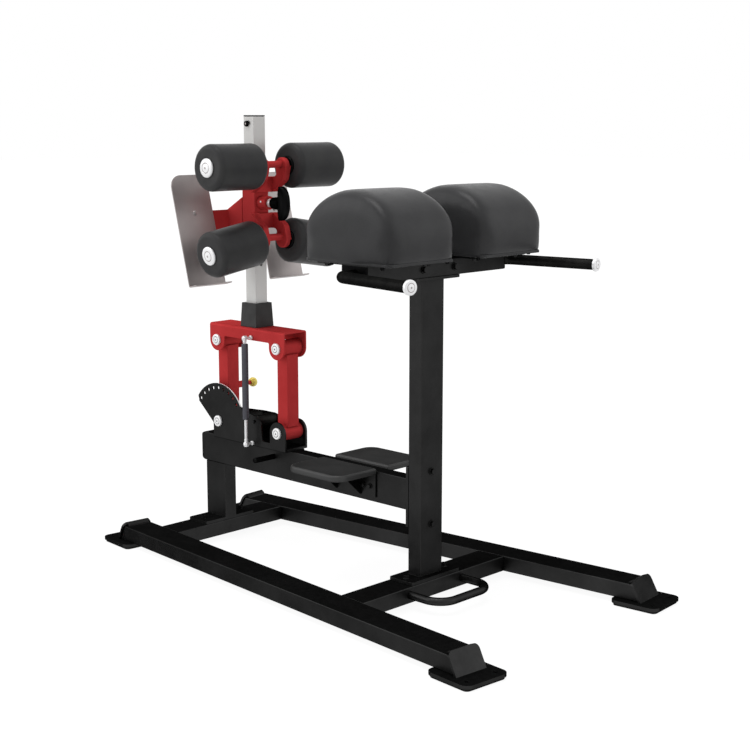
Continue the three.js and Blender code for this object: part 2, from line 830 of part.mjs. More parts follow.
// Each hand grip: a plug plate on the end of the pad bar, a bent tube and its end cap
function buildHandGrip(side) {
  const s = side.sign;
  const z = padBarTop - gripDrop;
  const plateStart = padBarHalfLength + seat;
  const plateEnd = plateStart + plugThickness;
  const cornerY = padBarHalfLength + gripRearOffset;
  const splay = radians(gripSplay);
  const end = [
    frontPostX + gripReach * Math.cos(splay),
    s * (cornerY + gripReach * Math.sin(splay)),
    z,
  ];
  const plate = prismAlongY(
    roundedOutline(crossTubeDepth - 2 * seat, crossTubeHeight - 4 * seat, tubeCorner),
    mirroredSpan(side, plateStart, plateEnd));
  plate.translate(frontPostX, 0, padBarBottom + crossTubeHeight / 2);
  const tube = bentRod([
    [frontPostX, s * (plateEnd - seat), z],
    [frontPostX, s * cornerY, z],
    end,
  ], gripBend, gripTubeRadius, bendSteps);
  addPart(developer, `${side.name}_hand_grip`, join([plate, tube]), steelBlack);
  const along = [Math.cos(splay), s * Math.sin(splay), 0];
  const at = (distance) => end.map((value, i) => value + distance * along[i]);
  const cap = rodBetween(at(seat), at(gripCapLength), gripCapRadius, fineSides,
    gripCapRadius * gripCapFaceShare);
  addPart(developer, `${side.name}_grip_cap`, cap, capSilver);
}

// Linkage bracket on the beam: the far side plate with its base, and the near index plate
function bracketOutline(withSector) {
  const bottom = beamTop + seat;
  const rear = rearPivotX - bracketRearMargin;
  const front = frontPivotX + bracketFrontMargin;
  const notch = beamTop + bracketNotchHeight + bracketBaseThickness;
  const humpTop = beamTop + humpHeight;
  const humpFront = linkCentreX + humpHalfWidth;
  const shape = new THREE.Shape();
  shape.moveTo(front, bottom);
  shape.lineTo(front, lowerPivotZ);
  shape.absarc(frontPivotX, lowerPivotZ, bracketFrontMargin, 0, Math.PI);
  shape.lineTo(frontPivotX - bracketFrontMargin, notch);
  shape.lineTo(humpFront, notch);
  shape.lineTo(humpFront, humpTop - humpCorner);
  shape.absarc(humpFront - humpCorner, humpTop - humpCorner, humpCorner, 0, Math.PI / 2);
  if (withSector) {
    const from = Math.PI / 2 - radians(indexEndAngle);
    const to = Math.PI / 2 + radians(indexEndAngle);
    shape.absarc(rearPivotX, lowerPivotZ, indexPlateRadius, from, to);
    shape.lineTo(rear, lowerPivotZ);
  } else {
    shape.lineTo(linkCentreX - humpHalfWidth + humpCorner, humpTop);
    shape.lineTo(rearPivotX + bracketRearMargin / 2, lowerPivotZ + bracketRearMargin);
    shape.lineTo(rearPivotX - bracketRearMargin / 2, lowerPivotZ + bracketRearMargin);
    shape.lineTo(rear, lowerPivotZ + bracketRearMargin / 2);
  }
  shape.lineTo(rear, bottom);
  return shape;
}

function crossBore(x, z, radius, half) {
  return rodBetween([x, -half, z], [x, half, z], radius, fineSides);
}

function bracketBores() {
  return [
    crossBore(rearPivotX, lowerPivotZ, pivotPinRadius + seat, bracketHalfWidth + overrun),
    crossBore(frontPivotX, lowerPivotZ, pivotPinRadius + seat, bracketHalfWidth + overrun),
    crossBore(bumpStopX, beamTop + bumpStopRise, bumpBoltRadius + seat, bracketHalfWidth + overrun),
  ];
}

function buildLinkBracket() {
  const far = prismAlongY(bracketOutline(false), [bracketInner, bracketHalfWidth], arcSteps);
  const base = block(
    [rearPivotX - bracketRearMargin, frontPivotX + bracketFrontMargin],
    [-bracketInner + seat, bracketInner + seat],
    [beamTop + seat, beamTop + seat + bracketBaseThickness]);
  addPart(developer, "link_bracket", cut(join([far, base]), bracketBores()), steelBlack);
}

function indexAngles() {
  const step = 2 * indexHalfAngle / (indexHoleCount - 1);
  return Array.from({ length: indexHoleCount }, (_, i) => radians(-indexHalfAngle + i * step));
}

function buildIndexPlate() {
  const plate = prismAlongY(bracketOutline(true), [-bracketHalfWidth, -bracketInner], wideArcSteps);
  const holes = indexAngles().map((angle) => rodBetween(
    [rearPivotX + indexHoleCircle * Math.sin(angle), -bracketHalfWidth - overrun,
      lowerPivotZ + indexHoleCircle * Math.cos(angle)],
    [rearPivotX + indexHoleCircle * Math.sin(angle), -bracketInner + overrun,
      lowerPivotZ + indexHoleCircle * Math.cos(angle)],
    indexHoleRadius, smallSides));
  const stud = rodBetween([strutX, -bracketHalfWidth - overrun, strutLowerZ],
    [strutX, -bracketInner + overrun, strutLowerZ], strutStudRadius - seat, tubeSides);
  addPart(developer, "index_plate", cut(plate, [...bracketBores(), ...holes, stud]), steelBlack);
}

function buildBumpStop() {
  const z = beamTop + bumpStopRise;
  const rubber = crossBore(bumpStopX, z, bumpStopRadius, bracketInner - seat);
  const shank = crossBore(bumpStopX, z, bumpBoltRadius, bracketHalfWidth + padBoltHead);
  const heads = sides.map((side) => hexHead([bumpStopX, side.sign * (bracketHalfWidth + seat), z],
    [bumpStopX, side.sign * (bracketHalfWidth + padBoltHead), z], padBoltRadius));
  addPart(developer, "bump_stop", join([rubber, shank, ...heads]), plasticBlack);
}

// A pivot pin with a domed cap at both ends
function buildPivotPin(name, x, z, half) {
  const shaft = crossBore(x, z, pivotPinRadius, half + pivotCapHeight / 2);
  const caps = sides.flatMap((side) => {
    const s = side.sign;
    const step = half + pivotCapHeight / 2;
    return [
      rodBetween([x, s * (half + seat), z], [x, s * step, z], pivotCapRadius),
      rodBetween([x, s * step, z], [x, s * (half + pivotCapHeight), z],
        pivotCapRadius, fineSides, pivotCapRadius * pivotCapFaceShare),
    ];
  });
  addPart(developer, name, join([shaft, ...caps]), capSilver);
}

// A stud: shank in the plate, hexagon collar, neck through the strut's eye and a head outside it
function buildStrutStud(name, z, face, shankLength) {
  const eyeOuter = strutOffset + strutEyeHalfWidth + seat;
  const stud = join([
    rodBetween([strutX, -face + shankLength, z], [strutX, -eyeOuter - strutStudHead, z],
      strutStudRadius - 2 * seat, smallSides),
    hexHead([strutX, -face - seat, z], [strutX, -face - strutCollarLength, z], strutCollarRadius),
    rodBetween([strutX, -eyeOuter, z], [strutX, -eyeOuter - strutStudHead, z], strutStudHeadRadius,
      smallSides),
  ]);
  addPart(developer, name, stud, steelBlack);
}

// A link: a square tube between two bushes, with a vent hole in its back
function linkSolid(x) {
  const tube = prismAlongZ(tubeOutline(linkTube, linkTube, linkWall, linkCorner),
    [lowerPivotZ, upperPivotZ]).translate(x, 0, 0);
  const pieces = [tube];
  for (const z of [lowerPivotZ, upperPivotZ]) {
    pieces.push(crossBore(x, z, linkBushRadius, bracketInner - runningFit));
  }
  const bores = [lowerPivotZ, upperPivotZ].map((z) => crossBore(
    x, z, pivotPinRadius + runningFit, bracketHalfWidth));
  const ventZ = lowerPivotZ + linkLength / 2;
  const vent = rodBetween([x - linkTube, 0, ventZ], [x - linkTube / 2 + linkWall + overrun, 0, ventZ],
    linkVentRadius, tubeSides);
  return cut(join(pieces), [...bores, vent]);
}

// The rear link carries the barrel of the index pin on its far side
function buildRearLink() {
  const z = lowerPivotZ + indexHoleCircle;
  const face = linkTube / 2;
  const end = face + indexBarrelLength;
  const neck = end - indexPinStroke - runningFit;
  const bore = rodBetween([rearPivotX, -linkTube, z], [rearPivotX, end + overrun, z],
    indexPinRadius + runningFit, tubeSides);
  const link = join([
    linkSolid(rearPivotX),
    rodBetween([rearPivotX, face - seat, z], [rearPivotX, neck, z], indexBarrelRadius),
    rodBetween([rearPivotX, neck - seat, z], [rearPivotX, end, z], indexNeckRadius),
  ]);
  addPart(developer, "rear_link", cut(link, [bore]), coatRed);
}

// The index pin stands just clear of the index plate; its knob's skirt slides over the neck
function buildIndexPin() {
  const z = lowerPivotZ + indexHoleCircle;
  const knobStart = linkTube / 2 + indexBarrelLength + runningFit;
  const socketEnd = indexKnobLength / 2;
  const pin = rodBetween([rearPivotX, -bracketInner + runningFit, z],
    [rearPivotX, knobStart + indexKnobLength - 2 * seat - indexKnobCrown, z], indexPinRadius, tubeSides);
  addPart(developer, "index_pin", pin, capSilver);
  const skirt = indexNeckRadius + runningFit;
  const socket = indexPinRadius + seat;
  const crown = indexKnobLength - indexKnobCrown;
  const knob = turned([
    [skirt, 0],
    [indexKnobRadius * indexKnobNeckShare, 0],
    [indexKnobRadius, indexKnobLength / 4],
    [indexKnobRadius, 3 * indexKnobLength / 4],
    [indexKnobRadius * indexKnobNeckShare, indexKnobLength],
    [0, indexKnobLength],
    [0, crown],
    [socket, crown],
    [socket, socketEnd],
    [skirt, socketEnd],
    [skirt, 0],
  ], tubeSides);
  addPart(developer, "index_knob", knob, knobYellow).position.set(rearPivotX, knobStart, z);
}

// The coupler is a channel that opens downwards, deeper at the two pivots
function buildCoupler() {
  const rear = rearPivotX - couplerEndMargin;
  const front = frontPivotX + couplerEndMargin;
  const shallow = couplerTop - couplerDeepDrop;
  const shape = new THREE.Shape();
  shape.moveTo(rear, couplerTop);
  shape.lineTo(rear, upperPivotZ);
  shape.absarc(rearPivotX, upperPivotZ, couplerLugRadius, Math.PI, 2 * Math.PI);
  shape.lineTo(rearPivotX + couplerLugRadius, shallow);
  shape.lineTo(frontPivotX - couplerLugRadius, shallow);
  shape.absarc(frontPivotX, upperPivotZ, couplerLugRadius, Math.PI, 2 * Math.PI);
  shape.lineTo(front, upperPivotZ);
  shape.lineTo(front, couplerTop);
  const outer = prismAlongY(shape, [-couplerHalfWidth, couplerHalfWidth], arcSteps);
  const hollow = block(
    [rear - overrun, front + overrun],
    [-couplerInner, couplerInner],
    [upperPivotZ - 2 * couplerLugRadius, couplerTop - couplerWall]);
  const bores = [rearPivotX, frontPivotX].map((x) => crossBore(
    x, upperPivotZ, pivotPinRadius + seat, couplerHalfWidth + overrun));
  const stud = rodBetween([strutX, -couplerHalfWidth - overrun, strutUpperZ],
    [strutX, -couplerInner + overrun, strutUpperZ], strutStudRadius - seat, tubeSides);
  addPart(developer, "coupler", cut(outer, [hollow, ...bores, stud]), coatRed);
}

// Gas strut: a rod with its eye on the lower stud, and a body with its eye on the upper stud
function buildGasStrut() {
  const x = strutX;
  const eyeY = [-strutOffset - strutEyeHalfWidth, -strutOffset + strutEyeHalfWidth];
  const eye = (z) => rodBetween([x, eyeY[0], z], [x, eyeY[1], z], strutEyeRadius, tubeSides);
  const hole = (z) => rodBetween([x, eyeY[0] - overrun, z], [x, eyeY[1] + overrun, z],
    strutStudRadius, tubeSides);
  const bodyOpen = strutLowerZ + strutExposedRod;
  const rodTop = bodyOpen + strutRodOverlap;
  const rod = join([
    eye(strutLowerZ),
    rodBetween([x, -strutOffset, strutLowerZ], [x, -strutOffset, rodTop], strutRodRadius, tubeSides),
  ]);
  addPart(developer, "strut_rod", cut(rod, [hole(strutLowerZ)]), capSilver);
  const bodyTop = strutUpperZ - strutNeck;
  const body = cut(
    rodBetween([x, -strutOffset, bodyOpen], [x, -strutOffset, bodyTop], strutBodyRadius),
    [rodBetween([x, -strutOffset, bodyOpen - overrun], [x, -strutOffset, bodyTop - strutNeck],
      strutBore)]);
  const neck = rodBetween([x, -strutOffset, bodyTop - seat], [x, -strutOffset, strutUpperZ],
    strutNeckRadius, tubeSides);
  const strut = cut(join([body, neck, eye(strutUpperZ)]), [hole(strutUpperZ)]);
  addPart(developer, "strut_cylinder", strut, plasticBlack);
}

function buildMast() {
  const tube = prismAlongZ(tubeOutline(mastSize, mastSize, mastWall, mastCorner),
    [mastBottom, mastTop]).translate(mastX, 0, 0);
  const holes = [];
  for (let i = -mastHolesDown; i <= mastHolesUp; i += 1) {
    const z = pinHeight + i * mastHolePitch;
    holes.push(rodBetween([mastFront - mastWall - overrun, 0, z], [mastFront + overrun, 0, z],
      mastHoleRadius, smallSides));
  }
  holes.push(crossBore(mastX, mastTop - stopScrewDrop, stopScrewShank + seat, mastSize));
  addPart(developer, "mast", cut(tube, holes), mastSilver);
}

// The mast's cap is held by a screw right through the mast
function buildMastCap() {
  const inside = mastSize - 2 * mastWall - 2 * seat;
  const lid = prismAlongZ(roundedOutline(mastSize, mastSize, mastCorner),
    [mastTop + seat, mastTop + seat + mastCapHeight]);
  const plug = prismAlongZ(roundedOutline(inside, inside, mastCorner / 2),
    [mastTop - mastPlugDepth, mastTop + 2 * seat]);
  const screwZ = mastTop - stopScrewDrop;
  const face = mastSize / 2;
  const pieces = [lid.translate(mastX, 0, 0), plug.translate(mastX, 0, 0)];
  pieces.push(crossBore(mastX, screwZ, stopScrewShank, face + stopScrewHead));
  for (const side of sides) {
    pieces.push(hexHead([mastX, side.sign * (face + seat), screwZ],
      [mastX, side.sign * (face + stopScrewHead), screwZ], stopScrewRadius));
  }
  addPart(developer, "mast_cap", join(pieces), plasticBlack);
}

// A tapered collar round the foot of the mast
function buildMastCollar() {
  const taper = new THREE.CylinderGeometry(
    collarTopHalf * Math.SQRT2, collarBottomHalf * Math.SQRT2, collarHeight, 4);
  taper.rotateX(Math.PI / 2).rotateZ(Math.PI / 4);
  taper.translate(mastX, 0, mastBottom + collarHeight / 2);
  const half = mastSize / 2 + seat;
  const bore = block([mastX - half, mastX + half], [-half, half],
    [mastBottom - overrun, mastBottom + collarHeight + overrun]);
  addPart(developer, "mast_collar", cut(taper, [bore]), plasticBlack);
}

// Carriage sleeve with the barrel of its pull pin
function buildSleeve() {
  const z = [pinHeight - sleeveLength / 2, pinHeight + sleeveLength / 2];
  const tube = prismAlongZ(tubeOutline(sleeveSize, sleeveSize, sleeveWall, sleeveCorner), z);
  tube.translate(mastX, 0, 0);
  const barrel = rodBetween([sleeveFront - seat, 0, pinHeight],
    [sleeveFront + barrelLength, 0, pinHeight], barrelRadius);
  const barrelEnd = sleeveFront + barrelLength;
  const bore = rodBetween([mastX, 0, pinHeight], [barrelEnd + overrun, 0, pinHeight],
    pullPinRadius + runningFit, tubeSides);
  const collarBore = rodBetween([barrelEnd - pullPinStroke - runningFit, 0, pinHeight],
    [barrelEnd + overrun, 0, pinHeight], pullCollarRadius + runningFit);
  addPart(developer, "carriage_sleeve", cut(join([tube, barrel]), [bore, collarBore]), coatRed);
  const inner = mastSize + 2 * runningFit;
  const outer = inner + 2 * linerThickness;
  const liner = prismAlongZ(
    tubeOutline(outer, outer, linerThickness, mastCorner), [z[0] - linerLip, z[1] + linerLip]);
  liner.translate(mastX, 0, 0);
  const linerBore = rodBetween([mastX, 0, pinHeight], [sleeveFront, 0, pinHeight],
    pullPinRadius + runningFit, tubeSides);
  addPart(developer, "sleeve_liner", cut(liner, [linerBore]), plasticBlack);
}

// A roller yoke: block on the sleeve, two arms out to bosses, a cross rod and two axle stubs
function buildYoke(name, up, droop) {
  const axleZ = pinHeight + up * axleRise;
  const blockZ = pinHeight + up * yokeBlockRise;
  const low = blockZ - yokeBlockHeight / 2;
  const high = blockZ + yokeBlockHeight / 2;
  const rear = sleeveFront + seat;
  const front = rear + yokeBlockDepth;
  const pieces = [block([rear, front], [-yokeHalfWidth, yokeHalfWidth], [low, high])];
  const tangent = up * yokeBlockHeight / 2;
  const arm = outlineOf([
    [rear + seat, blockZ - tangent],
    [front, blockZ - tangent],
    [axleX + yokeBossRadius * yokeBendShare, blockZ + tangent * yokeBendShare],
    [axleX + yokeBossRadius, axleZ],
    [axleX - yokeBossRadius, axleZ],
    [axleX - yokeBossRadius * yokeBendShare, blockZ + tangent],
    [rear + seat, blockZ + tangent],
  ]);
  for (const side of sides) {
    const y = mirroredSpan(side, yokeHalfWidth - yokeArm, yokeHalfWidth);
    pieces.push(prismAlongY(arm, y));
    pieces.push(rodBetween([axleX, y[0], axleZ], [axleX, y[1], axleZ], yokeBossRadius));
    const tilt = radians(droop);
    pieces.push(rodBetween(
      [axleX, side.sign * (yokeHalfWidth - yokeArm / 2), axleZ + Math.sin(tilt) * yokeArm / 2],
      [axleX, side.sign * (yokeHalfWidth + axleReach * Math.cos(tilt)), axleZ - Math.sin(tilt) * axleReach],
      axleRadius, tubeSides));
  }
  pieces.push(rodBetween([axleX, -yokeHalfWidth + yokeArm / 2, axleZ],
    [axleX, yokeHalfWidth - yokeArm / 2, axleZ], crossRodRadius, tubeSides));
  addPart(developer, name, join(pieces), coatRed);
}

// One foam roller and its hub, on an axle stub; the group's Y axis is the axle
function buildRoller(side, level, up, droop) {
  const group = new THREE.Group();
  const axleZ = pinHeight + up * axleRise;
  group.position.set(axleX, side.sign * yokeHalfWidth, axleZ);
  group.rotation.x = side.sign > 0 ? -radians(droop) : Math.PI + radians(droop);
  const start = rollerStart;
  const end = rollerStart + rollerLength;
  const bore = hubRadius + seat;
  const foam = [[bore, start], [rollerRadius - rollerEdge, start]];
  for (let i = 1; i <= rollerEdgeSteps; i += 1) {
    const turn = (i / rollerEdgeSteps) * Math.PI / 2;
    foam.push([rollerRadius - rollerEdge + rollerEdge * Math.sin(turn),
      start + rollerEdge * (1 - Math.cos(turn))]);
  }
  for (let i = 0; i <= rollerEdgeSteps; i += 1) {
    const turn = (i / rollerEdgeSteps) * Math.PI / 2;
    foam.push([rollerRadius - rollerEdge + rollerEdge * Math.cos(turn),
      end - rollerEdge * (1 - Math.sin(turn))]);
  }
  foam.push([bore, end], [bore, start]);
  const name = `${side.name}_${level}_roller`;
  addPart(group, name, turned(foam, rollerSides), padBlack);
  const hubBore = axleRadius + runningFit;
  const hubStart = start - hubWasherThickness - seat;
  const capStart = end + seat;
  const hub = turned([
    [hubBore, hubStart],
    [hubWasherRadius, hubStart],
    [hubWasherRadius, start - seat],
    [hubRadius, start - seat],
    [hubRadius, capStart],
    [hubCapRadius, capStart],
    [hubCapRadius, capStart + hubCapThickness],
    [hubCapRadius * hubCapFaceShare, capStart + hubCapThickness + hubCapDome],
    [0, capStart + hubCapThickness + hubCapDome],
    [0, capStart + hubCapThickness + seat],
    [hubBore, capStart + hubCapThickness + seat],
    [hubBore, hubStart],
  ], hubSides);
  addPart(group, `${name}_hub`, hub, capSilver);
  developer.add(group);
}

// The pull pin stands just clear of the mast; its collar slides into the end of the barrel
function buildPullPin() {
  const collarStart = sleeveFront + barrelLength + seat;
  const collarEnd = collarStart + pullCollarLength;
  const collar = cut(
    rodBetween([collarStart, 0, pinHeight], [collarEnd, 0, pinHeight], pullCollarRadius),
    [rodBetween([collarStart - overrun, 0, pinHeight], [collarEnd + overrun, 0, pinHeight],
      pullPinRadius + seat, tubeSides)]);
  addPart(developer, "pull_collar", collar, capSilver);
  const hubStart = collarEnd + seat;
  const hubEnd = hubStart + pullHubLength;
  const grip = new THREE.Shape();
  grip.moveTo(hubEnd - seat, pinHeight - gripHalfHeight);
  grip.absellipse(hubEnd, pinHeight, gripDepth, gripHalfHeight, -Math.PI / 2, Math.PI / 2, false, 0);
  grip.lineTo(hubEnd - seat, pinHeight + gripHalfHeight);
  const knob = join([
    rodBetween([mastFront + runningFit, 0, pinHeight], [hubEnd, 0, pinHeight], pullPinRadius, tubeSides),
    rodBetween([hubStart, 0, pinHeight], [hubEnd, 0, pinHeight], pullHubRadius),
    prismAlongY(grip, [-gripWidth / 2, gripWidth / 2], wideArcSteps),
  ]);
  addPart(developer, "pull_knob", knob, plasticBlack);
}

// Foot plates lean back; their group's Z axis runs up along the sheet
function footrestGroup(side) {
  const group = new THREE.Group();
  group.position.set(footrestBottomX, side.sign * (footrestInner + footrestWidth / 2), footrestBottom);
  group.rotation.y = -radians(footrestLean);
  developer.add(group);
  return group;
}

function buildFootrest(side) {
  const w = footrestWidth / 2;
  const shape = new THREE.Shape();
  shape.moveTo(-w, 0);
  shape.lineTo(w, 0);
  shape.lineTo(w, footrestLength - footrestCorner);
  shape.absarc(w - footrestCorner, footrestLength - footrestCorner, footrestCorner, 0, Math.PI / 2);
  shape.lineTo(-w + footrestCorner, footrestLength);
  shape.absarc(-w + footrestCorner, footrestLength - footrestCorner, footrestCorner,
    Math.PI / 2, Math.PI);
  const sheet = prismAlongX(shape, [-footrestThickness, 0], arcSteps);
  const lip = block([-footrestThickness, footrestLip], [-w, w], [-footrestThickness, seat]);
  const group = footrestGroup(side);
  const head = rodBetween([-seat, 0, footrestBoltRise], [footrestBoltHead, 0, footrestBoltRise],
    footrestBoltRadius, tubeSides, footrestBoltRadius * footrestBoltFaceShare);
  addPart(group, `${side.name}_foot_plate`, join([sheet, lip, head]), sheetGrey);
}

// The cross plate behind the foot plates, tied to the sleeve by two webs
function buildFootrestBracket() {
  const lean = radians(footrestLean);
  const along = (share) => share * footrestLength;
  const low = along(yokePlateBottomShare);
  const high = along(yokePlateTopShare);
  const tall = along(yokePlateEndShare);
  const shape = outlineOf([
    [-yokePlateHalfWidth, low],
    [yokePlateHalfWidth, low],
    [yokePlateHalfWidth, tall],
    [yokePlateNeck + (tall - high), tall],
    [yokePlateNeck, high],
    [-yokePlateNeck, high],
    [-yokePlateNeck - (tall - high), tall],
    [-yokePlateHalfWidth, tall],
  ]);
  const back = -footrestThickness - seat;
  const plate = prismAlongX(shape, [back - yokePlateThickness, back]);
  plate.rotateY(-lean).translate(footrestBottomX, 0, footrestBottom);
  const place = (u, v) => [
    footrestBottomX + u * Math.cos(lean) - v * Math.sin(lean),
    footrestBottom + u * Math.sin(lean) + v * Math.cos(lean),
  ];
  const sleeveRear = mastX - sleeveSize / 2 - seat;
  const web = outlineOf([
    place(back - seat, high),
    place(back - seat, low),
    [sleeveRear, pinHeight - sleeveLength / 2 + sideWebBase],
    [sleeveRear, pinHeight - sleeveLength / 2 + sideWebBase + sideWebHeight],
  ]);
  const webs = sides.map((side) => prismAlongY(
    web, mirroredSpan(side, sleeveSize / 2 - sideWebThickness, sleeveSize / 2)));
  addPart(developer, "footrest_bracket", join([plate, ...webs]), coatRed);
}

for (const side of sides) {
  const group = railGroup(side);
  buildRail(side, group);
  buildRubberFeet(side, group);
}
buildCrossTube("front_cross_tube", frontPostX);
buildCrossTube("rear_cross_tube", rearPostX);
buildCarryLoop();
buildUprights();
buildBeam();
buildBeamPlug();
sides.forEach(buildStep);
buildBandPeg();
buildPadFrame();
sides.forEach(buildThighPad);
sides.forEach(buildHandGrip);
buildLinkBracket();
buildIndexPlate();
buildBumpStop();
buildPivotPin("rear_lower_pivot_pin", rearPivotX, lowerPivotZ, bracketHalfWidth);
buildPivotPin("front_lower_pivot_pin", frontPivotX, lowerPivotZ, bracketHalfWidth);
buildStrutStud("lower_strut_stud", strutLowerZ, bracketHalfWidth, bracketThickness);
buildRearLink();
buildIndexPin();
addPart(developer, "front_link", linkSolid(frontPivotX), coatRed);
buildCoupler();
buildPivotPin("rear_upper_pivot_pin", rearPivotX, upperPivotZ, couplerHalfWidth);
buildPivotPin("front_upper_pivot_pin", frontPivotX, upperPivotZ, couplerHalfWidth);
buildStrutStud("upper_strut_stud", strutUpperZ, couplerHalfWidth, couplerWall);
buildGasStrut();
buildMast();
buildMastCap();
buildMastCollar();
buildSleeve();
buildYoke("upper_roller_yoke", 1, 0);
buildYoke("lower_roller_yoke", -1, axleDroop);
for (const side of sides) {
  buildRoller(side, "upper", 1, 0);
  buildRoller(side, "lower", -1, axleDroop);
}
buildPullPin();
sides.forEach(buildFootrest);
buildFootrestBracket();

export default developer;
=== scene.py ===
"""Glute ham developer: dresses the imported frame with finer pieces, materials, light and a camera.

Lengths in the geometry code are millimetres, as in the part's source; bodies and objects are metres.
"""

from math import cos, pi, radians, sin, tan

import bmesh
import bpy
import numpy as np
from mathutils import Matrix, Vector


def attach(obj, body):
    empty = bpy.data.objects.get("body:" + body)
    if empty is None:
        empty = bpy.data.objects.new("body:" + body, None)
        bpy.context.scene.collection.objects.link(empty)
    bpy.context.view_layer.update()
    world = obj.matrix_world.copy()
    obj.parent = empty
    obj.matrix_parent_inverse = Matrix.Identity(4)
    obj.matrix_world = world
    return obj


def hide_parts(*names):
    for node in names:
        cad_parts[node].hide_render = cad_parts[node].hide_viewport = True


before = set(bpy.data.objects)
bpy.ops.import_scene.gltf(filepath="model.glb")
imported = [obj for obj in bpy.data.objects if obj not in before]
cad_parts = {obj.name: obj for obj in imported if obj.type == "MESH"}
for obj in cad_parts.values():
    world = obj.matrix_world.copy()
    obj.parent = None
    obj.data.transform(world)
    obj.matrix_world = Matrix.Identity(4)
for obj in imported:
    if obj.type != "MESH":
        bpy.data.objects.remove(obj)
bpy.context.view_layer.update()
MM = 0.001

# Camera, solved from the photograph's vanishing points
CAMERA_PLACE = (3.1857, -3.1975, 1.455)
CAMERA_RIGHT = (0.71776, 0.69629, 0.0)
CAMERA_UP = (-0.121506, 0.125253, 0.984656)
CAMERA_BACK = (0.685605, -0.706749, 0.174505)
FOCAL_PIXELS = 1458.6
PICTURE_PIXELS = 750
SENSOR = 36.0

# Places of the real parts, as in the part's source
REAR_X, FRONT_X, MIDDLE_X = -616.0, -316.0, -466.0
LOW_Z, HIGH_Z = 426.0, 708.0
BEAM_TOP = 368.0
PIN_Z = 1177.0
AXLE_X = -380.0
AXLE_RISE = 120.0
DROOP = radians(9)
SIDES = (("near", -1), ("far", 1))


# Outlines and solids. A solid is a list of points and a list of faces
def arc(u, v, radius, start, end, steps):
    """Points on an arc, its angles in degrees."""
    turns = [radians(start + (end - start) * i / steps) for i in range(steps + 1)]
    return [(u + radius * cos(t), v + radius * sin(t)) for t in turns]


def quarter(steps, first=0):
    """Angles over a quarter turn, in equal steps."""
    return [pi / 2 * k / steps for k in range(first, steps + 1)]


def rectangle(left, bottom, right, top):
    return [(left, bottom), (right, bottom), (right, top), (left, top)]


def fillet(points, radius, steps=4, closed=True):
    """A line's corners rounded, with one radius or with a list of them."""
    rounded = []
    for i, point in enumerate(points):
        r = radius[i] if isinstance(radius, (list, tuple)) else radius
        p = Vector(point)
        a, b = Vector(points[i - 1]) - p, Vector(points[(i + 1) % len(points)]) - p
        end = not closed and i in (0, len(points) - 1)
        if end or r <= 0 or a.length < 1e-6 or b.length < 1e-6 or a.angle(b) > 3.1:
            rounded.append(tuple(p))
            continue
        half = a.angle(b) / 2
        reach = min(r / tan(half), 0.499 * a.length, 0.499 * b.length)
        a.normalize()
        b.normalize()
        centre = p + (a + b).normalized() * (reach / cos(half))
        u, v = p + a * reach - centre, p + b * reach - centre
        sweep = u.angle(v)
        for k in range(steps + 1):
            t = k / steps
            turned = (u * sin((1 - t) * sweep) + v * sin(t * sweep)) / sin(sweep)
            rounded.append(tuple(centre + turned))
    return rounded


def box_outline(width, height, radius, steps):
    """A rectangle about the middle, with rounded corners."""
    w, h = width / 2, height / 2
    return fillet(rectangle(-w, -h, w, h), radius, steps)


PLANES = {
    "xz": lambda u, v, w: (u, w, v),
    "yz": lambda u, v, w: (w, u, v),
    "xy": lambda u, v, w: (u, v, w),
}


def prism(outline, plane, low, high):
    """An outline drawn out square to its plane."""
    place = PLANES[plane]
    n = len(outline)
    verts = [place(u, v, w) for w in (low, high) for u, v in outline]
    faces = [[i, (i + 1) % n, n + (i + 1) % n, n + i] for i in range(n)]
    return verts, [*faces, list(range(n))[::-1], list(range(n, 2 * n))]


def loft(rings):
    """Closed rings of equal length, joined in order and closed at both ends."""
    n = len(rings[0])
    verts = [tuple(p) for ring in rings for p in ring]
    faces = []
    for r in range(len(rings) - 1):
        for i in range(n):
            j = (i + 1) % n
            faces.append([r * n + i, r * n + j, (r + 1) * n + j, (r + 1) * n + i])
    last = (len(rings) - 1) * n
    return verts, [*faces, list(range(n))[::-1], list(range(last, last + n))]


def across(axis):
    """Two directions square to an axis and to each other."""
    axis = Vector(axis).normalized()
    first = axis.cross((0, 0, 1)) if abs(axis.z) < 0.9 else axis.cross((0, 1, 0))
    first.normalize()
    return first, axis.cross(first)


def lathe(profile, place, axis, sides):
    """A turned solid: its profile gives radius and distance along the axis, from end to end."""
    axis = Vector(axis).normalized()
    first, second = across(axis)
    verts, rows = [], []
    for radius, distance in profile:
        centre = Vector(place) + axis * distance
        if radius < 1e-4:
            rows.append([len(verts)])
            verts.append(tuple(centre))
            continue
        rows.append(list(range(len(verts), len(verts) + sides)))
        for k in range(sides):
            t = 2 * pi * k / sides
            verts.append(tuple(centre + (first * cos(t) + second * sin(t)) * radius))
    faces = []
    for a, b in zip(rows, rows[1:]):
        for k in range(sides):
            j = (k + 1) % sides
            if len(a) == 1 and len(b) == 1:
                break
            if len(a) == 1:
                faces.append([a[0], b[j], b[k]])
            elif len(b) == 1:
                faces.append([a[k], a[j], b[0]])
            else:
                faces.append([a[k], a[j], b[j], b[k]])
    if len(rows[0]) > 1:
        faces.append(rows[0][::-1])
    if len(rows[-1]) > 1:
        faces.append(rows[-1])
    return verts, faces


def ring(profile, place, axis, sides):
    """A turned solid with a hole through it: its profile is a closed outline."""
    axis = Vector(axis).normalized()
    first, second = across(axis)
    n = len(profile)
    verts = []
    for k in range(sides):
        t = 2 * pi * k / sides
        out = first * cos(t) + second * sin(t)
        verts += [tuple(Vector(place) + axis * d + out * r) for r, d in profile]
    faces = []
    for k in range(sides):
        j = (k + 1) % sides
        for i in range(n):
            m = (i + 1) % n
            faces.append([k * n + i, k * n + m, j * n + m, j * n + i])
    return verts, faces


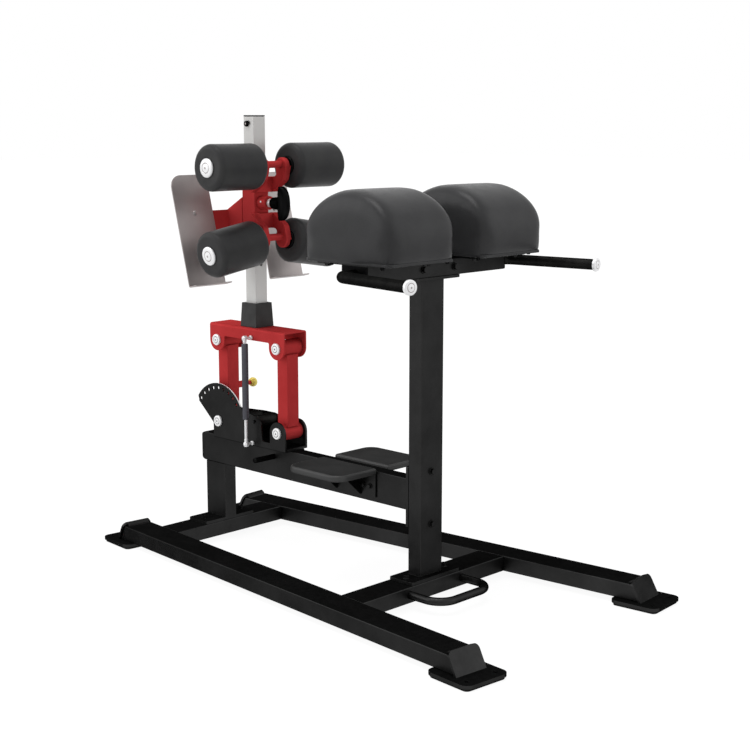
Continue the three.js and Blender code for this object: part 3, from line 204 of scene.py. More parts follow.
def sweep(path, radius, sides):
    """A round rod along a path. The radius may be a list, one for each point."""
    points = [Vector(p) for p in path]
    n = len(points)
    radii = radius if isinstance(radius, (list, tuple)) else [radius] * n
    first, _ = across(points[1] - points[0])
    rings = []
    for i, p in enumerate(points):
        along = (points[min(i + 1, n - 1)] - points[max(i - 1, 0)]).normalized()
        first = (first - along * first.dot(along)).normalized()
        second = along.cross(first)
        rings.append([
            p + (first * cos(2 * pi * k / sides) + second * sin(2 * pi * k / sides)) * radii[i]
            for k in range(sides)
        ])
    return loft(rings)


def together(*solids):
    """Solids as one list, each still closed by itself."""
    verts, faces = [], []
    for points, polygons in solids:
        start = len(verts)
        verts += points
        faces += [[start + i for i in polygon] for polygon in polygons]
    return verts, faces


def moved(solid, turn, shift):
    """A solid turned and then shifted."""
    verts, faces = solid
    return [tuple(turn @ Vector(v) + shift) for v in verts], faces


def add_object(name, data):
    made = bpy.data.objects.new(name, data)
    bpy.context.collection.objects.link(made)
    return made


def working_object(solid):
    """An object that only lasts until its form is worked out."""
    mesh = bpy.data.meshes.new("working")
    mesh.from_pydata([tuple(c * MM for c in v) for v in solid[0]], [], solid[1])
    work = bmesh.new()
    work.from_mesh(mesh)
    bmesh.ops.remove_doubles(work, verts=work.verts, dist=1e-7)
    bmesh.ops.recalc_face_normals(work, faces=work.faces)
    work.to_mesh(mesh)
    work.free()
    return add_object("working", mesh)


def combine(solid, others, operation):
    """A solid joined with, cut by or kept inside others."""
    base = working_object(solid)
    tools = [working_object(other) for other in others]
    for tool in tools:
        m = base.modifiers.new("boolean", "BOOLEAN")
        m.operation, m.solver, m.object = operation, "EXACT", tool
    graph = bpy.context.evaluated_depsgraph_get()
    mesh = base.evaluated_get(graph).to_mesh()
    verts = [tuple(c / MM for c in v.co) for v in mesh.vertices]
    faces = [list(p.vertices) for p in mesh.polygons]
    for made in [base, *tools]:
        bpy.data.objects.remove(made)
    return verts, faces


def join(solid, *others):
    return combine(solid, others, "UNION")


def cut(solid, *others):
    return combine(solid, others, "DIFFERENCE")


def inside(solid, *others):
    return combine(solid, others, "INTERSECT")


def rod(start, end, radius, sides=48):
    """A round bar between two points."""
    along = Vector(end) - Vector(start)
    return lathe([(radius, 0), (radius, along.length)], start, along, sides)


# Materials
def linear(rgb):
    """A colour as seen on screen, 0 to 255, in the shader's units."""
    return tuple(
        (c / 255 / 12.92) if c <= 10.3 else ((c / 255 + 0.055) / 1.055) ** 2.4 for c in rgb
    ) + (1.0,)


def add_node(tree, kind, inputs=(), **settings):
    """A node with its settings, then the values of its inputs."""
    made = tree.nodes.new(kind)
    for key, value in settings.items():
        setattr(made, key, value)
    for name, value in dict(inputs).items():
        made.inputs[name].default_value = value
    return made


class Finish:
    """A procedural material on one Principled shader, in the piece's own coordinates."""

    def __init__(self, name, **even):
        self.material = bpy.data.materials.new(name)
        self.material.use_nodes = True
        self.tree = self.material.node_tree
        self.links = self.tree.links
        self.shader = self.tree.nodes["Principled BSDF"]
        for socket, value in even.items():
            self.shader.inputs[socket.replace("_", " ")].default_value = value
        self.place = add_node(self.tree, "ShaderNodeTexCoord").outputs["Object"]

    def stretched(self, scale):
        made = add_node(self.tree, "ShaderNodeMapping", {"Scale": scale})
        self.links.new(self.place, made.inputs["Vector"])
        return made.outputs["Vector"]

    def noise(self, scale, detail, roughness=0.55, stretch=None):
        made = add_node(self.tree, "ShaderNodeTexNoise",
                        {"Scale": scale, "Detail": detail, "Roughness": roughness})
        self.links.new(self.stretched(stretch) if stretch else self.place, made.inputs["Vector"])
        return made.outputs["Fac"]

    def cells(self, scale):
        made = add_node(self.tree, "ShaderNodeTexVoronoi", {"Scale": scale, "Smoothness": 0.3},
                        feature="SMOOTH_F1")
        self.links.new(self.place, made.inputs["Vector"])
        return made.outputs["Distance"]

    def span(self, value, low, high, start=0.3, end=0.7):
        made = add_node(self.tree, "ShaderNodeMapRange",
                        {"From Min": start, "From Max": end, "To Min": low, "To Max": high})
        self.links.new(value, made.inputs["Value"])
        return made.outputs["Result"]

    def total(self, first, second, share):
        made = add_node(self.tree, "ShaderNodeMath", {1: share}, operation="MULTIPLY_ADD")
        self.links.new(second, made.inputs[0])
        self.links.new(first, made.inputs[2])
        return made.outputs["Value"]

    def colour(self, factor, dark, light, start=0.3, end=0.7):
        made = add_node(self.tree, "ShaderNodeMix", data_type="RGBA")
        self.links.new(self.span(factor, 0, 1, start, end), made.inputs["Factor"])
        ends = [socket for socket in made.inputs if socket.type == "RGBA"]
        for socket, rgb in zip(ends, (dark, light)):
            socket.default_value = linear(rgb)
        self.links.new(made.outputs[2], self.shader.inputs["Base Color"])

    def rough(self, value, low, high):
        self.links.new(self.span(value, low, high), self.shader.inputs["Roughness"])

    def bump(self, height, strength, distance):
        made = add_node(self.tree, "ShaderNodeBump", {"Strength": strength, "Distance": distance})
        self.links.new(height, made.inputs["Height"])
        self.links.new(made.outputs["Normal"], self.shader.inputs["Normal"])


def powder_coat(name, dark, light, rough, **even):
    """Baked powder coat: a fine orange-peel surface with a slight drift in colour and gloss."""
    f = Finish(name, **even)
    f.colour(f.noise(9, 4), dark, light)
    f.rough(f.noise(70, 3), rough - 0.04, rough + 0.05)
    f.bump(f.total(f.noise(420, 2), f.noise(1500, 2), 0.35), 0.16, 0.0006)
    return f.material


def vinyl(name, dark, light, gloss):
    """Upholstery vinyl: small pebbled grain, a soft sheen, and lighter worn drifts."""
    f = Finish(name, Specular_IOR_Level=gloss)
    f.colour(f.noise(14, 5), dark, light)
    grain = f.total(f.cells(650), f.noise(1300, 3), 0.4)
    f.rough(f.noise(45, 4), 0.28, 0.36)
    f.bump(f.total(grain, f.noise(38, 3), 0.8), 0.22, 0.0007)
    return f.material


def moulded(name, dark, light, rough, **even):
    """Moulded plastic or rubber with a fine spark-eroded texture."""
    f = Finish(name, **even)
    f.colour(f.noise(30, 3), dark, light)
    f.rough(f.noise(120, 2), rough - 0.05, rough + 0.06)
    f.bump(f.noise(1900, 2), 0.12, 0.0004)
    return f.material


def brushed(name, dark, light, metal, rough, stretch, strength, **even):
    """Metal with the fine parallel scratches of brushing."""
    f = Finish(name, Metallic=metal, **even)
    streaks = f.noise(9, 6, 0.7, stretch)
    f.colour(f.total(f.span(f.noise(7, 3), 0.0, 0.5), streaks, 0.5), dark, light, 0.2, 0.8)
    f.rough(streaks, rough - 0.05, rough + 0.07)
    f.bump(f.noise(14, 4, 0.6, stretch), strength, 0.0004)
    return f.material


def tinted(metal, edge=(60, 60, 60)):
    """A metallic share, and the tint of what is reflected at a low angle."""
    return {"Metallic": metal, "Specular_IOR_Level": 0.0, "Specular_Tint": linear(edge)}


BLACK = powder_coat("black_powder_coat", (43, 43, 43), (51, 51, 51), 0.38, **tinted(0.92, (36, 36, 36)))
TREAD = powder_coat("step_coat", (50, 50, 50), (60, 60, 60), 0.5, **tinted(0.3))
# The step rim's lighter grey is a painted highlight along the tread's rounded edge; rim and tread are
# one coat.
RIM_HIGHLIGHT = powder_coat("step_rim_painted_highlight", (70, 70, 70), (78, 78, 78), 0.4, **tinted(0.3))
# The red coat's raised green and blue fold a whitish reflection into its colour: real red with a painted
# sheen.
RED = powder_coat("red_coat_and_painted_sheen", (174, 52, 53), (188, 61, 62), 0.4, **tinted(0.15, (190, 60, 60)))
VINYL = vinyl("pad_vinyl", (49, 49, 50), (55, 55, 56), 0.12)
FOAM = vinyl("roller_skin", (55, 55, 56), (62, 62, 62), 0.05)
STRUT_COAT = powder_coat("strut_coat", (80, 80, 86), (88, 88, 94), 0.4, **tinted(0.5))
PLASTIC = moulded("black_plastic", (17, 17, 18), (25, 25, 25), 0.34, **tinted(0.7, (40, 40, 40)))
RUBBER = moulded("black_rubber", (28, 28, 28), (37, 37, 36), 0.4, **tinted(0.6))
COLLAR = moulded("collar_plastic", (54, 54, 54), (62, 62, 62), 0.5, Specular_IOR_Level=0.1)
YELLOW = moulded("yellow_plastic", (243, 222, 92), (250, 232, 106), 0.35)
SILVER = brushed("bright_metal", (232, 232, 233), (244, 244, 245), 0.3, 0.32, (1, 1, 1), 0.05)
MAST = brushed("mast_silver", (192, 191, 189), (202, 201, 199), 0.2, 0.36, (40, 40, 1), 0.06)
SHEET = brushed("brushed_sheet", (150, 143, 142), (170, 163, 162), 0.55, 0.38, (1, 42, 1), 0.14)
DARK_STEEL = brushed("dark_bolt", (24, 24, 25), (38, 38, 39), 0.5, 0.4, (1, 1, 1), 0.05,
                     Specular_IOR_Level=0.1)


# Pieces
def smoothing_group():
    """Nodes that smooth a mesh except over edges sharper than 32 degrees."""
    group = bpy.data.node_groups.new("smooth_by_angle", "GeometryNodeTree")
    group.interface.new_socket("Geometry", in_out="INPUT", socket_type="NodeSocketGeometry")
    group.interface.new_socket("Geometry", in_out="OUTPUT", socket_type="NodeSocketGeometry")
    start, end = add_node(group, "NodeGroupInput"), add_node(group, "NodeGroupOutput")
    smooth = add_node(group, "GeometryNodeSetShadeSmooth")
    sharp = add_node(group, "GeometryNodeSetShadeSmooth", domain="EDGE")
    angle = add_node(group, "GeometryNodeInputMeshEdgeAngle")
    below = add_node(group, "FunctionNodeCompare", {1: radians(32)}, operation="LESS_THAN")
    for output, socket in (
        (angle.outputs[0], below.inputs[0]),
        (start.outputs[0], smooth.inputs[0]),
        (smooth.outputs[0], sharp.inputs[0]),
        (below.outputs[0], sharp.inputs["Shade Smooth"]),
        (sharp.outputs[0], end.inputs[0]),
    ):
        group.links.new(output, socket)
    return group


SMOOTHING = smoothing_group()


def soften(obj, width, steps=2):
    """Rounds the sharp edges and smooths the faces between them."""
    if width:
        m = obj.modifiers.new("edges", "BEVEL")
        m.width, m.segments, m.limit_method = width * MM, steps, "ANGLE"
        m.angle_limit = radians(34)
        m.use_clamp_overlap = True
        m.loop_slide = True
    m = obj.modifiers.new("smooth", "NODES")
    m.node_group = SMOOTHING
    m = obj.modifiers.new("normals", "WEIGHTED_NORMAL")
    m.keep_sharp = True
    m.weight = 60


def dress(node, material, width):
    """A node that keeps its shape gets eased edges and a material."""
    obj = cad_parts[node]
    m = obj.modifiers.new("weld", "WELD")
    m.merge_threshold = 1e-5
    m = obj.modifiers.new("faces", "DECIMATE")
    m.decimate_type, m.angle_limit = "DISSOLVE", radians(0.6)
    soften(obj, width)
    obj.data.materials.clear()
    obj.data.materials.append(material)


def piece(name, solids, body, materials, stands_for=(), edge=0.0, steps=2):
    """A new piece of one or more solids, each with its own material."""
    if not isinstance(materials, (list, tuple)):
        materials, solids = [materials], [solids]
    mesh = bpy.data.meshes.new(name)
    work = bmesh.new()
    for index, (verts, faces) in enumerate(solids):
        made = [work.verts.new([c * MM for c in v]) for v in verts]
        for polygon in faces:
            corners = [made[i] for i in polygon]
            if not work.faces.get(corners):
                work.faces.new(corners).material_index = index
    bmesh.ops.remove_doubles(work, verts=work.verts, dist=1e-6)
    bmesh.ops.recalc_face_normals(work, faces=work.faces)
    work.to_mesh(mesh)
    work.free()
    for material in materials:
        mesh.materials.append(material)
    obj = add_object(name, mesh)
    soften(obj, edge, steps)
    if stands_for:
        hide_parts(*stands_for)
    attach(obj, body)
    return obj


# Floor rails: a splayed tube with a folded end plate and a foot plate at each end
RAIL_HALF, RAIL_BOTTOM, RAIL_TOP, RAIL_OFFSET, RAIL_SPLAY = 806.0, 18.1, 68.1, 340.0, 5.1


def end_plate(sign):
    """A plate up the slanted end, its upper corners rounded, with a short lap on the tube's top."""
    half, corner, foot_z = 56.0, 16.0, RAIL_BOTTOM - 0.3
    narrow, lap_z = half - corner, RAIL_TOP - 1.5
    # Each row has its outer and inner x beyond the tube's top corner, their z, and half its width
    rows = [(37, foot_z, 27.7, foot_z, half)]
    for t in quarter(8):
        rows.append((11.4 - 8.4 * sin(t), 64.5 + 16.0 * sin(t), 2.1 - 4.1 * sin(t), 64.5 + 9.0 * sin(t),
                     half - corner * (1 - cos(t))))
    rows += [(-10, RAIL_TOP + 7, -10, lap_z, narrow), (-15.5, RAIL_TOP + 1.5, -17, lap_z, narrow)]
    rings = []
    for outer_x, outer_z, inner_x, inner_z, y in rows:
        outer, inner = sign * (RAIL_HALF + outer_x), sign * (RAIL_HALF + inner_x)
        rings.append([(outer, -y, outer_z), (outer, y, outer_z), (inner, y, inner_z),
                      (inner, -y, inner_z)])
    return loft(rings)


def foot_slab(sign):
    """A foot plate with rounded corners and its two floor bolt holes."""
    middle, bolt_x, bolt_y = sign * (RAIL_HALF + 21), sign * (RAIL_HALF + 72), 52
    outline = [(u + middle, v) for u, v in box_outline(160, 162, 26, 10)]
    holes = [rod((bolt_x, y, 0), (bolt_x, y, 30), 6.5, 32) for y in (-bolt_y, bolt_y)]
    return cut(prism(outline, "xy", 8.3, RAIL_BOTTOM), *holes)


def floor_rail(side, s):
    place = (Matrix.Rotation(s * radians(RAIL_SPLAY), 3, "Z"), Vector((0, s * RAIL_OFFSET, 0)))
    foot = RAIL_HALF + 29
    tube = prism([(-foot, RAIL_BOTTOM), (foot, RAIL_BOTTOM), (RAIL_HALF, RAIL_TOP),
                  (-RAIL_HALF, RAIL_TOP)], "xz", -50, 50)
    plates = together(end_plate(-1), end_plate(1), foot_slab(-1), foot_slab(1))
    piece(f"{side}_rail_tube", moved(tube, *place), "frame", BLACK, [f"{side}_rail"],
          2.6, 3)
    piece(f"{side}_rail_plates", moved(plates, *place), "frame", BLACK, edge=1.4, steps=3)


for side, s in SIDES:
    floor_rail(side, s)

# Weldments and other parts that keep their shapes
for node in ("front_cross_tube", "rear_cross_tube", "rear_upright", "front_upright", "main_beam",
             "pad_frame"):
    dress(node, BLACK, 1.4)
for side, _ in SIDES:
    for end in ("rear", "front"):
        dress(f"{side}_{end}_rubber_foot", RUBBER, 1.5)
for node, material, width in (
    ("footrest_bracket", RED, 1.2),
    ("carriage_sleeve", RED, 1.2),
    ("sleeve_liner", PLASTIC, 0),
    ("mast", MAST, 0.8),
    ("mast_collar", COLLAR, 1.6),
    ("mast_cap", PLASTIC, 0.6),
):
    dress(node, material, width)

# Screw through the mast's cap: a domed head with a hexagon recess on each side
for side, s in SIDES:
    place, axis = (MIDDLE_X - 7, s * 25.2, 1432), (0, s, 0)
    head = fillet([(0, 0), (9.5, 0), (9.5, 4), (8, 7.4), (0, 7.4)], [0, 0.4, 2, 2, 0])
    recess = rectangle(0, 7, 3.6, 7.7)
    piece(f"{side}_mast_screw", [lathe(head, place, axis, 32), lathe(recess, place, axis, 6)],
          "coupler", [PLASTIC, SHEET])

# Carry loop and band peg
LOOP_REAR, LOOP_FRONT, LOOP_HALF, LOOP_Z = 347.8, 469.8, 118, 43.1
loop = fillet([(LOOP_REAR, -LOOP_HALF, LOOP_Z), (LOOP_FRONT, -LOOP_HALF, LOOP_Z),
               (LOOP_FRONT, LOOP_HALF, LOOP_Z), (LOOP_REAR, LOOP_HALF, LOOP_Z)], 60, 12, closed=False)
piece("carry_loop_tube", sweep(loop, 12.5, 32), "frame", BLACK, ["carry_loop"])
peg = lathe(fillet(rectangle(0, 0, 9, 222), [0, 4, 4, 0], 5), (-364, -111, 337), (0, 1, 0), 32)
piece("band_peg_rod", peg, "frame", PLASTIC, ["band_peg"])

# Domed plug in the beam's open end
BEAM_END_X, BEAM_Z = -726.3, 318
stations = [(0, 0)]
stations += [(7.5 + 12 * sin(t), 12 - 12 * cos(t)) for t in quarter(7)[:-1]]
stations += [(19.6, 14.5), (20, 20)]
plug_rings = []
for depth, inset in stations:
    outline = box_outline(50 - 2 * inset, 100 - 2 * inset - depth * 0.8, 3.5 if inset < 12 else 3, 5)
    plug_rings.append([(BEAM_END_X - depth, u, v + BEAM_Z) for u, v in outline])
piece("beam_end_plug", loft(plug_rings), "frame", BLACK, ["beam_plug"])


def bolt(place, axis, radius, height, washer=0.0):
    """A hexagon head, on a round washer if that has a radius."""
    profile = [(0, 0), (radius, 0), (radius, height * 0.72), (radius * 0.86, height), (0, height)]
    ease = height * 0.12
    head = lathe(fillet(profile, [0, 0, ease, ease, 0], 3), place, axis, 6)
    if not washer:
        return head
    rim = fillet(rectangle(0, -0.2, washer, 2.4), [0, 0, 0.7, 0], 3)
    return together(head, lathe(rim, place, axis, 28))


# Steps: a thick tread with a rounded rim on a cheek and two ribs
STEP_REAR, STEP_FRONT, STEP_INNER, STEP_OUTER = -122, 115, 25.3, 193
CHEEK_BOTTOM, CHEEK_TOP, CHEEK_FACE, RIB_TOP = 285, 357.4, 30.3, 357.3


def step_slab(s, levels):
    """A slab through levels of a height and an inset each, round at its outer corners."""
    rings = []
    for z, inset in levels:
        inner, outer = s * (STEP_INNER + inset), s * (STEP_OUTER - inset)
        rear, front = STEP_REAR + inset, STEP_FRONT - inset
        outline = fillet(rectangle(rear, inner, front, outer), [3, 3, 42 - inset, 42 - inset], 12)
        rings.append([(x, y, z) for x, y in outline])
    return loft(rings)


def step(side, s):
    rim = step_slab(s, [(357.3, 3.5), (358.2, 1.6), (360.4, 0.4), (363, 0), (371, 0), (374.4, 0.8),
                        (376.8, 2.8), (377.7, 5.4), (377.7, 9)])
    top = step_slab(s, [(376.4, 7), (377.9, 7), (378.1, 7.6)])
    # The rolled rim takes the lighter grey of a painted highlight, the flat top the plain tread coat.
    piece(f"{side}_step_tread", [rim, top], "frame", [RIM_HIGHLIGHT, TREAD], [f"{side}_step"])
    parts = [prism(rectangle(STEP_REAR, CHEEK_BOTTOM, STEP_FRONT, CHEEK_TOP), "xz",
                   *sorted((s * STEP_INNER, s * CHEEK_FACE)))]
    sunk = s * 29.8
    rib = [(sunk, CHEEK_BOTTOM), (s * CHEEK_FACE, CHEEK_BOTTOM), (s * 109.3, RIB_TOP), (sunk, RIB_TOP)]
    for x in (50, -57):
        parts.append(prism(rib, "yz", x - 3, x + 3))
    for x in (91, 64, -98, -71):
        parts.append(bolt((x, s * CHEEK_FACE, BEAM_Z), (0, s, 0), 7, 8.5, 9.4))
    piece(f"{side}_step_cheek", together(*parts), "frame", BLACK, edge=0.8)


for side, s in SIDES:
    step(side, s)


# Linkage bracket: a far plate on its base, and the near plate with its index sector
LUG_RADIUS, PIVOT_BORE, LINK_BORE = 37, 11.3, 11.5
PLATE_FACE, PLATE_BACK = 50, 44
BRACKET_REAR, BRACKET_FRONT, BRACKET_BOTTOM = REAR_X - 34, FRONT_X + LUG_RADIUS, BEAM_TOP + 0.3
NOTCH_Z = BEAM_TOP + 20
STOP_X, STOP_Z = MIDDLE_X + 34, BEAM_TOP + 82
SECTOR_RADIUS, INDEX_RADIUS, INDEX_STEP = 131, 115, 13.5


def front_lug():
    return [(BRACKET_FRONT, BRACKET_BOTTOM), *arc(FRONT_X, LOW_Z, LUG_RADIUS, 0, 180, 28)]


def near_outline():
    behind, rear = FRONT_X - LUG_RADIUS, BRACKET_REAR + 7
    rise = fillet([(behind, LOW_Z), (behind, NOTCH_Z), (-392, NOTCH_Z), (-398, 448), (-432, 470),
                   (-480, 478)], [0, 5, 5, 16, 30, 0], 6)
    return [*front_lug(), *rise, *arc(REAR_X, LOW_Z, SECTOR_RADIUS, 27, 145, 46), (-719, 489),
            (-719, 483), (rear, LOW_Z - 9), (rear, BRACKET_BOTTOM)]


def far_outline():
    hump, top, shoulder = MIDDLE_X + 62, BEAM_TOP + 98, LOW_Z + 34
    return [*front_lug(), (FRONT_X - LUG_RADIUS, NOTCH_Z), (hump, NOTCH_Z),
            *arc(hump - 34, top - 34, 34, 0, 90, 12), (MIDDLE_X - 28, top), (REAR_X + 17, shoulder),
            (REAR_X - 17, shoulder), (BRACKET_REAR, LOW_Z + 17), (BRACKET_REAR, BRACKET_BOTTOM)]


def bore(x, z, radius):
    """A bore through the whole width of the linkage."""
    return rod((x, -60, z), (x, 60, z), radius)


bores = [bore(REAR_X, LOW_Z, PIVOT_BORE), bore(FRONT_X, LOW_Z, PIVOT_BORE), bore(STOP_X, STOP_Z, 4.3)]
holes = []
for i in range(9):
    turn = radians((i - 4) * INDEX_STEP)
    holes.append(bore(REAR_X + INDEX_RADIUS * sin(turn), LOW_Z + INDEX_RADIUS * cos(turn), 6.2))
sector = cut(prism(near_outline(), "xz", -PLATE_FACE, -PLATE_BACK), *bores, *holes)
# A thin silver strip set into the sector's arc edge is a painted highlight, where the plate's edge
# catches light.
sector_edge_highlight = arc(REAR_X, LOW_Z, SECTOR_RADIUS + 0.3, 30, 104, 40)
sector_edge_highlight += arc(REAR_X, LOW_Z, SECTOR_RADIUS - 0.4, 104, 30, 40)
piece("index_sector_plate", [sector, prism(sector_edge_highlight, "xz", -49.2, -44.8)], "frame",
      [BLACK, SILVER], ["index_plate"], 0.6)
# A thin dark strip along the beam's top under the near plate is a painted shadow below the plate's lower
# edge.
shadow_strip = rectangle(REAR_X - 27, BEAM_TOP - 1.4, BRACKET_FRONT, BEAM_TOP + 0.5)
piece("index_plate_painted_shadow", prism(shadow_strip, "xz", -49.4, -25.2), "frame", PLASTIC)
base = prism(rectangle(BRACKET_REAR, BRACKET_BOTTOM, BRACKET_FRONT, BEAM_TOP + 8.3), "xz", -41.7, 43)
bracket = cut(join(prism(far_outline(), "xz", 42, PLATE_FACE), base), *bores)
piece("bracket_plate", bracket, "frame", BLACK, ["link_bracket"], 0.9)


def bumper(x):
    """A fat rubber roll with drawn-in ends."""
    profile = [(0, -41.5), (15, -41.5), (19, -36), (20, -26), (20, 26), (19, 36), (15, 41.5), (0, 41.5)]
    return lathe(fillet(profile, [0, 3, 4, 8, 8, 4, 3, 0]), (x, 0, STOP_Z), (0, 1, 0), 48)


stop_bolts = [bolt((STOP_X, s * 50.2, STOP_Z), (0, s, 0), 6.8, 5.8) for _, s in SIDES]
piece("bump_stop_rubber", [bumper(STOP_X), together(*stop_bolts)], "frame",
      [RUBBER, DARK_STEEL], ["bump_stop"])
piece("rear_bump_stop_rubber", bumper(MIDDLE_X - 34), "frame", RUBBER)


def domed_cap(place, axis, radius, height):
    """A turned cap with a rolled rim and a shallow dome, and its dark groove and centre socket."""
    profile = [(0, 0), (1, 0), (1, 0.5)]
    for t in quarter(6, 1):
        profile.append((0.86 + 0.14 * cos(t), 0.5 + 0.36 * sin(t)))
    profile += [(0.62, 0.88), (0.6, 0.8), (0.53, 0.8), (0.51, 0.93), (0.2, 1), (0, 1)]
    groove = rectangle(0.525, 0.74, 0.605, 0.83)
    recess = rectangle(0, 0.9, 0.15, 1.004)

    def sized(part):
        return [(r * radius, d * height) for r, d in part]

    dark = together(ring(sized(groove), place, axis, 48), lathe(sized(recess), place, axis, 6))
    return lathe(sized(profile), place, axis, 56), dark


def pivot_pin(name, x, z, body, node):
    end = PLATE_FACE + 1
    shaft = rod((x, -end, z), (x, end, z), 11, 40)
    caps = [domed_cap((x, s * (PLATE_FACE + 0.3), z), (0, s, 0), 19, 7.7) for _, s in SIDES]
    piece(name, [together(shaft, *[c[0] for c in caps]), together(*[c[1] for c in caps])], body,
          [SILVER, DARK_STEEL], [node])


for end, x in (("rear", REAR_X), ("front", FRONT_X)):
    pivot_pin(f"{end}_lower_pin", x, LOW_Z, "frame", f"{end}_lower_pivot_pin")
for end, x in (("rear", REAR_X), ("front", FRONT_X)):
    pivot_pin(f"{end}_upper_pin", x, HIGH_Z, "coupler", f"{end}_upper_pivot_pin")


# Links: a square tube cut flat between two wide round bushes, with a weld bead over each joint
def link(x):
    tube = prism([(u + x, v) for u, v in box_outline(50, 50, 2.8, 4)], "xy", LOW_Z + 21, HIGH_Z - 21)
    bushes = []
    for z in (LOW_Z, HIGH_Z):
        bush = fillet(rectangle(0, -41.5, 27, 41.5), [0, 1.5, 1.5, 0], 3)
        bushes.append(lathe(bush, (x, 0, z), (0, 1, 0), 72))
    return join(tube, *bushes)


def link_welds(x):
    beads = []
    for z, up in ((LOW_Z, 1), (HIGH_Z, -1)):
        for s in (-1, 1):
            path = [(x + s * 16.6, -24 + 48 * k / 40, z + up * 21) for k in range(41)]
            beads.append(sweep(path, [1.9 + 0.3 * sin(2.1 * k) for k in range(41)], 10))
    return together(*beads)


link_bores = {x: [bore(x, z, LINK_BORE) for z in (LOW_Z, HIGH_Z)] for x in (REAR_X, FRONT_X)}
index_z = LOW_Z + INDEX_RADIUS
index_place = (REAR_X, 0, index_z)
barrel = fillet([(0, 24), (11.5, 24), (11.5, 78), (7, 78), (7, 95), (0, 95)], [0, 0, 1, 0, 0.8, 0], 3)
barrel = lathe(barrel, index_place, (0, 1, 0), 40)
rear_link = cut(join(link(REAR_X), barrel), *link_bores[REAR_X],
                rod((REAR_X, -60, index_z), (REAR_X, 110, index_z), 5.4, 24))
piece("rear_link_arm", [rear_link, link_welds(REAR_X)], "rear_link", [RED, RED],
      ["rear_link"])
piece("front_link_arm", [cut(link(FRONT_X), *link_bores[FRONT_X]), link_welds(FRONT_X)],
      "front_link", [RED, RED], ["front_link"])

pin = fillet(rectangle(0, -41.5, 4.9, 116), [0, 1.6, 0, 0], 3)
piece("index_pin_rod", lathe(pin, index_place, (0, 1, 0), 28), "index_pin", SILVER,
      ["index_pin"])
knob = fillet([(7.5, 0), (11, 0), (15.6, 6), (17, 13), (14.5, 21), (8, 25.5), (0, 26)],
              [0, 1.5, 7, 8, 7, 6, 0], 6)
piece("index_knob_ball", ring([*knob, (0, 22), (5.3, 22), (5.3, 13), (7.5, 13)],
                              (REAR_X, 95.5, index_z), (0, 1, 0), 40),
      "index_pin", YELLOW, ["index_knob"])

# Coupler: a channel folded from plate, open below, with round lugs at its pivots
COUPLER_REAR, COUPLER_FRONT, COUPLER_TOP = REAR_X - LUG_RADIUS, FRONT_X + LUG_RADIUS, 764.5
web_z = COUPLER_TOP - 40.5
lugs = [(COUPLER_REAR, COUPLER_TOP), *arc(REAR_X, HIGH_Z, LUG_RADIUS, 180, 360, 30)]
lugs += fillet([(REAR_X + LUG_RADIUS, HIGH_Z), (REAR_X + LUG_RADIUS, web_z),
                (FRONT_X - LUG_RADIUS, web_z), (FRONT_X - LUG_RADIUS, HIGH_Z)], [0, 5, 5, 0])[1:-1]
lugs += [*arc(FRONT_X, HIGH_Z, LUG_RADIUS, 180, 360, 30), (COUPLER_FRONT, COUPLER_TOP)]
fold = fillet(rectangle(-PLATE_FACE, 600, PLATE_FACE, COUPLER_TOP), [0, 0, 8, 8], 6)
hollow = fillet(rectangle(-PLATE_BACK, 590, PLATE_BACK, COUPLER_TOP - 6), [0, 0, 3, 3], 3)
ends = (COUPLER_REAR - 9, COUPLER_FRONT + 9)
channel = inside(prism(lugs, "xz", -PLATE_FACE, PLATE_FACE), prism(fold, "yz", *ends))
channel = cut(channel, prism(hollow, "yz", *ends), bore(REAR_X, HIGH_Z, PIVOT_BORE),
              bore(FRONT_X, HIGH_Z, PIVOT_BORE))
piece("coupler_channel", channel, "coupler", RED, ["coupler"], 0.9)

# Gas strut: ball ends on studs, bright rod, black cylinder
STRUT_X, STRUT_Y, LOW_STUD_Z, HIGH_STUD_Z = -438.0, -80.0, 376, 734


def stud(name, z, body, node):
    """A stud with a flange, a neck and a bright ball, which stands in the strut's socket."""
    profile = [(0, 0), (8, 0), (8, 4.5), (5.2, 6), (4.2, 9), (4.2, 15), (6.5, 17), (8.2, 20.5),
               (8.6, 24), (7.9, 28), (5.6, 31.4), (0, 33)]
    profile = fillet(profile, [0, 1, 1, 1, 1, 1, 2, 3, 3, 3, 2, 0], 3)
    width, length = 0.9, 39 / 33
    profile = [(r * width, d * length) for r, d in profile]
    piece(name, lathe(profile, (STRUT_X, -PLATE_FACE - 0.3, z), (0, -1, 0), 36), body,
          SILVER, [node])


stud("lower_stud", LOW_STUD_Z, "frame", "lower_strut_stud")
stud("upper_stud", HIGH_STUD_Z, "coupler", "upper_strut_stud")


def socket(z):
    """The strut's end: a round eye on the stud's ball."""
    profile = fillet(rectangle(3.9, -6, 9, 6), [0.5, 2.4, 2.4, 0.5])
    return ring(profile, (STRUT_X, STRUT_Y, z), (0, 1, 0), 36)


def upright(profile, z):
    """A solid turned about the strut's axis."""
    return lathe(profile, (STRUT_X, STRUT_Y, z), (0, 0, 1), 32)


bright_rod = upright(fillet([(0, 7.5), (6.2, 7.5), (6.2, 17), (5, 19), (5, 203), (0, 203)],
                            [0, 1, 1, 1, 1, 0], 3), LOW_STUD_Z)
piece("strut_bright_rod", together(socket(LOW_STUD_Z), bright_rod), "strut_rod",
      SILVER, ["strut_rod"])
shell = fillet([(7.5, 461), (11, 461), (11, 716), (5.1, 716), (5.1, 699), (7.5, 699)],
               [0.4, 1.6, 3, 0, 0, 0])
shell = ring(shell, (STRUT_X, STRUT_Y, 0), (0, 0, 1), 40)
neck = upright(fillet([(0, 700), (5, 700), (5, 719), (6.2, 720), (6.2, 726.5), (0, 726.5)],
                      [0, 0, 1, 1, 1, 0], 3), 0)
piece("strut_shell", [shell, together(neck, socket(HIGH_STUD_Z))], "strut_cylinder",
      [STRUT_COAT, SILVER], ["strut_cylinder"])


# Carriage: two roller yokes
YOKE_REAR, YOKE_FRONT = -434.7, -420.7


